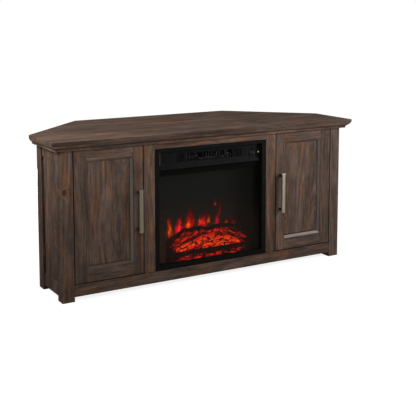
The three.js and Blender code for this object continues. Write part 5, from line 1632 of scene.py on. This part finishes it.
@dataclass
class FireBed:
    """The moulded bed of embers, with crossed logs rising from its slope and loose coals on its lip."""

    replaced: str = "log_set"
    columns: int = 162
    skirt_rows: int = 20
    slope_rows: int = 44
    back_rows: int = 8
    lip_rise: float = 0.0445
    slope_length: float = 0.0754
    sink: float = 0.35
    stand_out: float = 0.8
    crease: float = 0.0012
    coal_size: Pair = (0.0032, 0.0)
    coal_count: int = 26
    coal_seed: int = 11
    bed_glow: float = 2.5
    coal_glow: float = 1.1

    LOGS = (
        BedLog(((-0.152, 0.033), (-0.075, 0.052), (-0.003, 0.066)), 0.0175, 0.50, 0.40),
        BedLog(((-0.120, 0.006), (-0.049, 0.021), (0.018, 0.038), (0.034, 0.052)), 0.0140, 0.88, 0.66),
        BedLog(
            ((-0.014, 0.006), (0.021, 0.020), (0.061, 0.026), (0.098, 0.018), (0.128, 0.004)), 0.0120, 0.84,
            0.80,
        ),
        BedLog(((0.024, 0.000), (0.055, 0.009), (0.088, 0.000)), 0.0085, 0.86, 0.84),
        BedLog(((0.016, 0.060), (0.086, 0.051), (0.164, 0.022)), 0.0175, 0.46, 0.36),
        BedLog(((0.046, 0.070), (0.100, 0.068)), 0.0090, 0.38, 0.34),
    )
    RIDGE = (
        (-0.153, 0.140), (-0.142, 0.148), (-0.108, 0.162), (-0.084, 0.178), (-0.060, 0.174), (-0.036, 0.177),
        (-0.015, 0.1784), (0.006, 0.171), (0.017, 0.166), (0.041, 0.175), (0.074, 0.177), (0.110, 0.172),
        (0.147, 0.164), (0.169, 0.154),
    )
    FIRE_MIDDLE = 0.010
    SLOPE_HALF, SLOPE_FADE = 0.176, 0.05
    PLAIN_HEAT, PLAIN_SPREAD = 0.36, 0.1
    PLAIN_WAVE, SKIRT_WAVE, MIRROR_WAVE = (40.0, 40.0, 0.0), (90.0, 90.0, 2.0), (20.0, 80.0, 5.0)
    BARK_WAVE, CHAR_WAVE = (130.0, 420.0, 1.0), (60.0, 3.0, 0.0)
    ROUND_COOLING, CREASE_COOLING, SIDE_COOLING, SIDE_HEAT, LOW_HEATING = 0.3, 0.16, 0.3, 0.4, 0.18
    SKIRT_DEPTH, SKIRT_ROUGH = 0.0016, 0.0006
    MIRROR_HEIGHT, MIRROR_HALF = 0.0775, 0.0125
    MIRROR_REACH, MIRROR_FADE = 0.158, 0.06
    MIRROR_HEAT, MIRROR_SPREAD = 0.56, 0.70
    SLOPE_FRONT, SLOPE_DEPTH, SLOPE_CURVE = 0.0040, 0.0326, 1.15
    TOP_FADE, LIP_RISE, LIP_FADE = 6.0, 0.35, 4.0
    RISE_FORWARD, RISE_UP, BARK_ROUGH = 0.86, 0.40, 0.0008
    FRONT_LEAST = 0.0004
    CHAR_START, CHAR_WAVER, CHAR_FADE = 0.80, 0.05, 0.07
    BACK_GAP, BACK_DEPTH, BACK_DROP, BACK_BARK = 0.0002, 0.0045, 0.001, 0.1
    COAL_XS, COAL_YS, COAL_LIFT = (-0.128, 0.132), (-0.1885, -0.1835), 0.003

    def build(self) -> None:
        """Makes the bed in place of its CAD node, and the coals."""
        self.low, self.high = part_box(self.replaced)
        bed = new_piece("ember_bed", self._mesh(), Body.STAND, Slot.EMBER_RESIN)
        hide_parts(self.replaced)
        chance, top = random.Random(self.coal_seed), self.low.z + self.lip_rise
        spans = (self.COAL_XS, self.COAL_YS, (0.0, self.COAL_LIFT))
        draws = [[chance.uniform(*span) for span in spans] for _ in range(self.coal_count)]
        spots = [(x, y, top + lift) for x, y, lift in draws]
        coal = EmberBark("glowing coals", self.coal_glow, mapped=False).make()
        Hardware.COAL.fit("loose_coals", spots, UP, self.coal_size, coal, Slot.EMBER_RESIN)

    def _ridge_at(self, x: float) -> float:
        """Returns the height of the ridge at a place across."""
        for (x0, z0), (x1, z1) in zip(self.RIDGE, self.RIDGE[1:]):
            if x <= x1:
                return z0 + (z1 - z0) * max(0.0, (x - x0) / (x1 - x0))
        return self.RIDGE[-1][1]

    def _logs_at(self, x: float, up: float) -> tuple[float, float, float, float]:
        """Works out how the logs shape a place on the slope.

        Args:
            x: the place across.
            up: the place up the slope, from the lip.

        Returns:
            How far the surface stands out, its heat, and its two bark coordinates.
        """
        best = (0.0, self.PLAIN_HEAT + self.PLAIN_SPREAD * wave(x, up, self.PLAIN_WAVE), x, up)
        for index, log in enumerate(self.LOGS):
            run = 0.0
            total = sum(math.dist(a, b) for a, b in zip(log.line, log.line[1:]))
            for (x0, u0), (x1, u1) in zip(log.line, log.line[1:]):
                piece = math.dist((x0, u0), (x1, u1))
                share = unit(((x - x0) * (x1 - x0) + (up - u0) * (u1 - u0)) / piece**2)
                near = (x0 + (x1 - x0) * share, u0 + (u1 - u0) * share)
                off = math.dist((x, up), near)
                if off < log.radius:
                    rise = (math.sqrt(log.radius**2 - off**2) - self.sink * log.radius) * self.stand_out
                    if rise > best[0]:
                        along = (run + share * piece) / total
                        heat = log.heat_start + (log.heat_end - log.heat_start) * along
                        heat -= self.ROUND_COOLING * (off / log.radius) ** 2
                        side = math.copysign(off, (x - near[0]) * (u1 - u0) - (up - near[1]) * (x1 - x0))
                        best = (rise, heat, index + run + share * piece, side)
                run += piece
        rise, heat, *bark = best
        return (rise, heat - self.CREASE_COOLING if rise < self.crease else heat, *bark)

    def _section(self, x: float) -> Section:
        """Works out the section at a place across.

        Args:
            x: the place across.

        Returns:
            The section.
        """
        made = Section([], [], [])
        self._skirt(made, x)
        self._slope(made, x)
        ridge = self._ridge_at(x)
        for row in range(1, self.back_rows + 1):
            share = row / self.back_rows
            y = self.high.y - self.BACK_GAP - self.BACK_DEPTH * (1.0 - share)
            z = ridge - self.BACK_DROP + share * (self.low.z - ridge + self.BACK_DROP)
            made.add((x, y, z), 0.0, (x, share * self.BACK_BARK))
        return made

    def _skirt(self, made: Section, x: float) -> None:
        """Adds the upright front below the lip, whose glow stands for the fire's mirror image.

        Args:
            made: the section.
            x: its place across.
        """
        reach = unit((self.MIRROR_REACH - abs(x - self.FIRE_MIDDLE)) / self.MIRROR_FADE)
        for row in range(self.skirt_rows):
            z = self.low.z + row / self.skirt_rows * self.lip_rise
            y = self.low.y + self.SKIRT_DEPTH + self.SKIRT_ROUGH * wave(x, z, self.SKIRT_WAVE)
            band = max(0.0, 1.0 - abs((z - self.MIRROR_HEIGHT) / self.MIRROR_HALF) ** 2) * reach
            heat = band * (self.MIRROR_HEAT + self.MIRROR_SPREAD * wave(x, z, self.MIRROR_WAVE))
            made.add((x, y, z), heat, (x, z))

    def _slope(self, made: Section, x: float) -> None:
        """Adds the slope from the lip to the ridge, with the logs on it.

        Args:
            made: the section.
            x: its place across.
        """
        front, lip, ridge = self.low.y, self.low.z + self.lip_rise, self._ridge_at(x)
        side = unit((self.SLOPE_HALF - abs(x - self.FIRE_MIDDLE)) / self.SLOPE_FADE)
        for row in range(self.slope_rows + 1):
            share = row / self.slope_rows
            rise, heat, along, around = self._logs_at(x, share * self.slope_length)
            rise *= min(1.0, (1.0 - share) * self.TOP_FADE) * min(1.0, self.LIP_RISE + share * self.LIP_FADE)
            rise += self.BARK_ROUGH * wave(along, around, self.BARK_WAVE)
            deep = self.SLOPE_FRONT + self.SLOPE_DEPTH * share**self.SLOPE_CURVE
            y = front + deep - rise * self.RISE_FORWARD
            z = lip + (ridge - lip) * share + rise * self.RISE_UP
            waver = self.CHAR_WAVER * wave(x, 1.0, self.CHAR_WAVE)
            char = unit((share - self.CHAR_START + waver) / self.CHAR_FADE)
            heat = (heat + self.LOW_HEATING * (1.0 - share)) * min(1.0, self.SIDE_HEAT + side) * (1.0 - char)
            point = (x, max(front + self.FRONT_LEAST, y), min(self.high.z, z))
            made.add(point, heat - self.SIDE_COOLING * (1.0 - side), (along, around))

    def _mesh(self) -> Mesh:
        """Joins the sections into one closed mesh with its heat and bark map.

        Returns:
            The mesh.
        """
        width, last = self.high.x - self.low.x, self.columns - 1
        sections = [self._section(self.low.x + width * index / last) for index in range(self.columns)]
        rows = len(sections[0].points)
        faces = [
            (start + row, start + rows + row, start + rows + (row + 1) % rows, start + (row + 1) % rows)
            for start in range(0, last * rows, rows) for row in range(rows)
        ]
        faces.append(tuple(range(rows)))
        faces.append(tuple(last * rows + row for row in reversed(range(rows))))
        mesh = bpy.data.meshes.new("ember_bed")
        mesh.from_pydata([point for section in sections for point in section.points], [], faces)
        heat = mesh.attributes.new(EmberBark.HEAT, "FLOAT", "POINT")
        heat.data.foreach_set("value", [max(0.0, value) for section in sections for value in section.heats])
        barks = [pair for section in sections for pair in section.barks]
        layer = mesh.uv_layers.new(name=EmberBark.BARK_MAP)
        for loop in mesh.loops:
            layer.data[loop.index].uv = barks[loop.vertex_index]
        mesh.shade_smooth()
        mesh.materials.append(EmberBark("glowing bark", self.bed_glow).make())
        return mesh


# ---------------------------------------------------------------- the studio


@dataclass(frozen=True)
class PhotoCamera:
    """The camera fitted to the photo, its frame lowered so that upright lines stay nearly parallel."""

    place: Triple = (-1.5774, -2.8453, 0.9571)
    yaw: float = math.radians(30.701)
    pitch: float = math.radians(6.738)
    focal_pixels: float = 876.18
    frame_pixels: float = 416.0
    drop_pixels: float = 95.0
    sensor: float = 36.0
    nearest: float = 0.05
    farthest: float = 80.0

    def build(self) -> None:
        """Makes the scene's camera."""
        data = bpy.data.cameras.new("photo camera")
        data.sensor_width = self.sensor
        data.lens = self.focal_pixels * self.sensor / self.frame_pixels
        data.shift_y = -self.drop_pixels / self.frame_pixels
        data.clip_start, data.clip_end = self.nearest, self.farthest
        camera = show("photo camera", data)
        camera.location = self.place
        camera.rotation_euler = (math.pi / 2 - self.pitch, 0.0, -self.yaw)
        bpy.context.scene.camera = camera


@dataclass(frozen=True)
class SoftLamp:
    """One square lamp, with the share of plain daylight that it gives at the stand."""

    name: str
    place: Triple
    side: float
    share: float

    def build(self, aim: Vector) -> None:
        """Hangs the lamp and turns it to the aim.

        Args:
            aim: the point that the lamp faces.
        """
        reach = aim - Vector(self.place)
        data = bpy.data.lights.new(self.name, "AREA")
        data.size = self.side
        data.energy = self.share * math.pi**2 * reach.length_squared
        lamp = show(self.name, data)
        lamp.location = self.place
        lamp.rotation_euler = reach.to_track_quat("-Z", "Y").to_euler()
        lamp.visible_camera = False


@dataclass(frozen=True)
class Studio:
    """A pale floor that runs out into white surroundings, with soft lamps close over the stand."""

    room_light: float = 0.10
    floor_half: float = 30.0
    lift_near: float = 0.86
    lift_far: float = 1.0
    near_reach: float = 0.9
    far_reach: float = 2.2
    floor_dark: Triple = (0.20, 0.20, 0.20)
    floor_pale: Triple = (0.23, 0.23, 0.23)
    floor_spots: Triple = (3.0, 3.0, 3.0)
    floor_detail: float = 3.0
    floor_shine: tuple[float, ...] = (0.3, 0.7, 0.85, 0.95)
    white: Triple = (1.0, 1.0, 1.0)
    aim: Triple = (0.0, -0.1, 0.28)
    lamps: tuple[SoftLamp, ...] = (
        SoftLamp("left end lamp", (-1.25, -0.15, 0.95), side=0.4, share=0.56),
        SoftLamp("left front lamp", (-0.45, -1.10, 0.80), side=0.5, share=0.47),
        SoftLamp("right front lamp", (0.95, -1.05, 0.75), side=0.5, share=0.70),
        SoftLamp("top lamp", (0.0, 0.1, 2.4), side=1.2, share=0.59),
        SoftLamp("back lamp", (0.0, 2.2, 0.27), side=0.5, share=0.70),
    )

    def build(self) -> None:
        """Makes the surroundings, the lamps and the floor."""
        bpy.context.scene.view_settings.view_transform = "Standard"
        for lamp in self.lamps:
            lamp.build(Vector(self.aim))
        self._surroundings()
        self._floor()

    def _surroundings(self) -> None:
        """Makes a world that looks white and lights at the room's level."""
        world = bpy.data.worlds.new("studio")
        world.use_nodes = True
        bpy.context.scene.world = world
        sheet = NodeSheet(world.node_tree)
        background = world.node_tree.nodes["Background"]
        sheet.feed(background.inputs["Color"], self.white)
        light = sheet.fit(self._seen(sheet), 0.0, 1.0, self.room_light, 1.0)
        sheet.feed(background.inputs["Strength"], light)

    @staticmethod
    def _seen(sheet: NodeSheet) -> Socket:
        """Returns 1 for rays that are seen straight from the camera, or through glass."""
        path = sheet.node("ShaderNodeLightPath").outputs
        return sheet.math("MAXIMUM", path["Is Camera Ray"], path["Is Transmission Ray"])

    def _floor(self) -> None:
        """Lays the floor, a pale matt sheet that keeps the stand's shadow and whitens with distance."""
        sheet = MaterialSheet("pale floor", specular=0.0)
        cloud = sheet.noise(sheet.place, self.floor_spots, self.floor_detail)
        away = sheet.measure("LENGTH", sheet.place)
        lift = sheet.fit(away, self.near_reach, self.far_reach, self.lift_near, self.lift_far)
        sheet.shade({
            "Base Color": sheet.ramp(cloud, (0.3, self.floor_dark), (0.7, self.floor_pale)),
            "Roughness": sheet.fit(cloud, *self.floor_shine), "Emission Color": self.white,
            "Emission Strength": sheet.times(self._seen(sheet), lift),
        })
        mesh, far = bpy.data.meshes.new("floor"), self.floor_half
        corners = [(-far, -far, 0.0), (far, -far, 0.0), (far, far, 0.0), (-far, far, 0.0)]
        mesh.from_pydata(corners, [], [(0, 1, 2, 3)])
        mesh.materials.append(sheet.material)
        show("floor", mesh)


# ---------------------------------------------------------------- the order of work


def main() -> None:
    """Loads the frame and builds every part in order."""
    logging.basicConfig(level=logging.INFO, format="%(name)s: %(message)s")
    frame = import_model()
    nodes = frame["nodes"]
    PhotoCamera().build()
    Studio().build()
    Woodwork(nodes).build()
    finishes = Finishes()
    for side in Side:
        DoorFittings(side, nodes, finishes).build()
        CupboardFittings(side, finishes).build()
    BackFittings(finishes).build()
    FireInsert(nodes, finishes).build()
    FireBed().build()


if __name__ == "__main__":
    main()
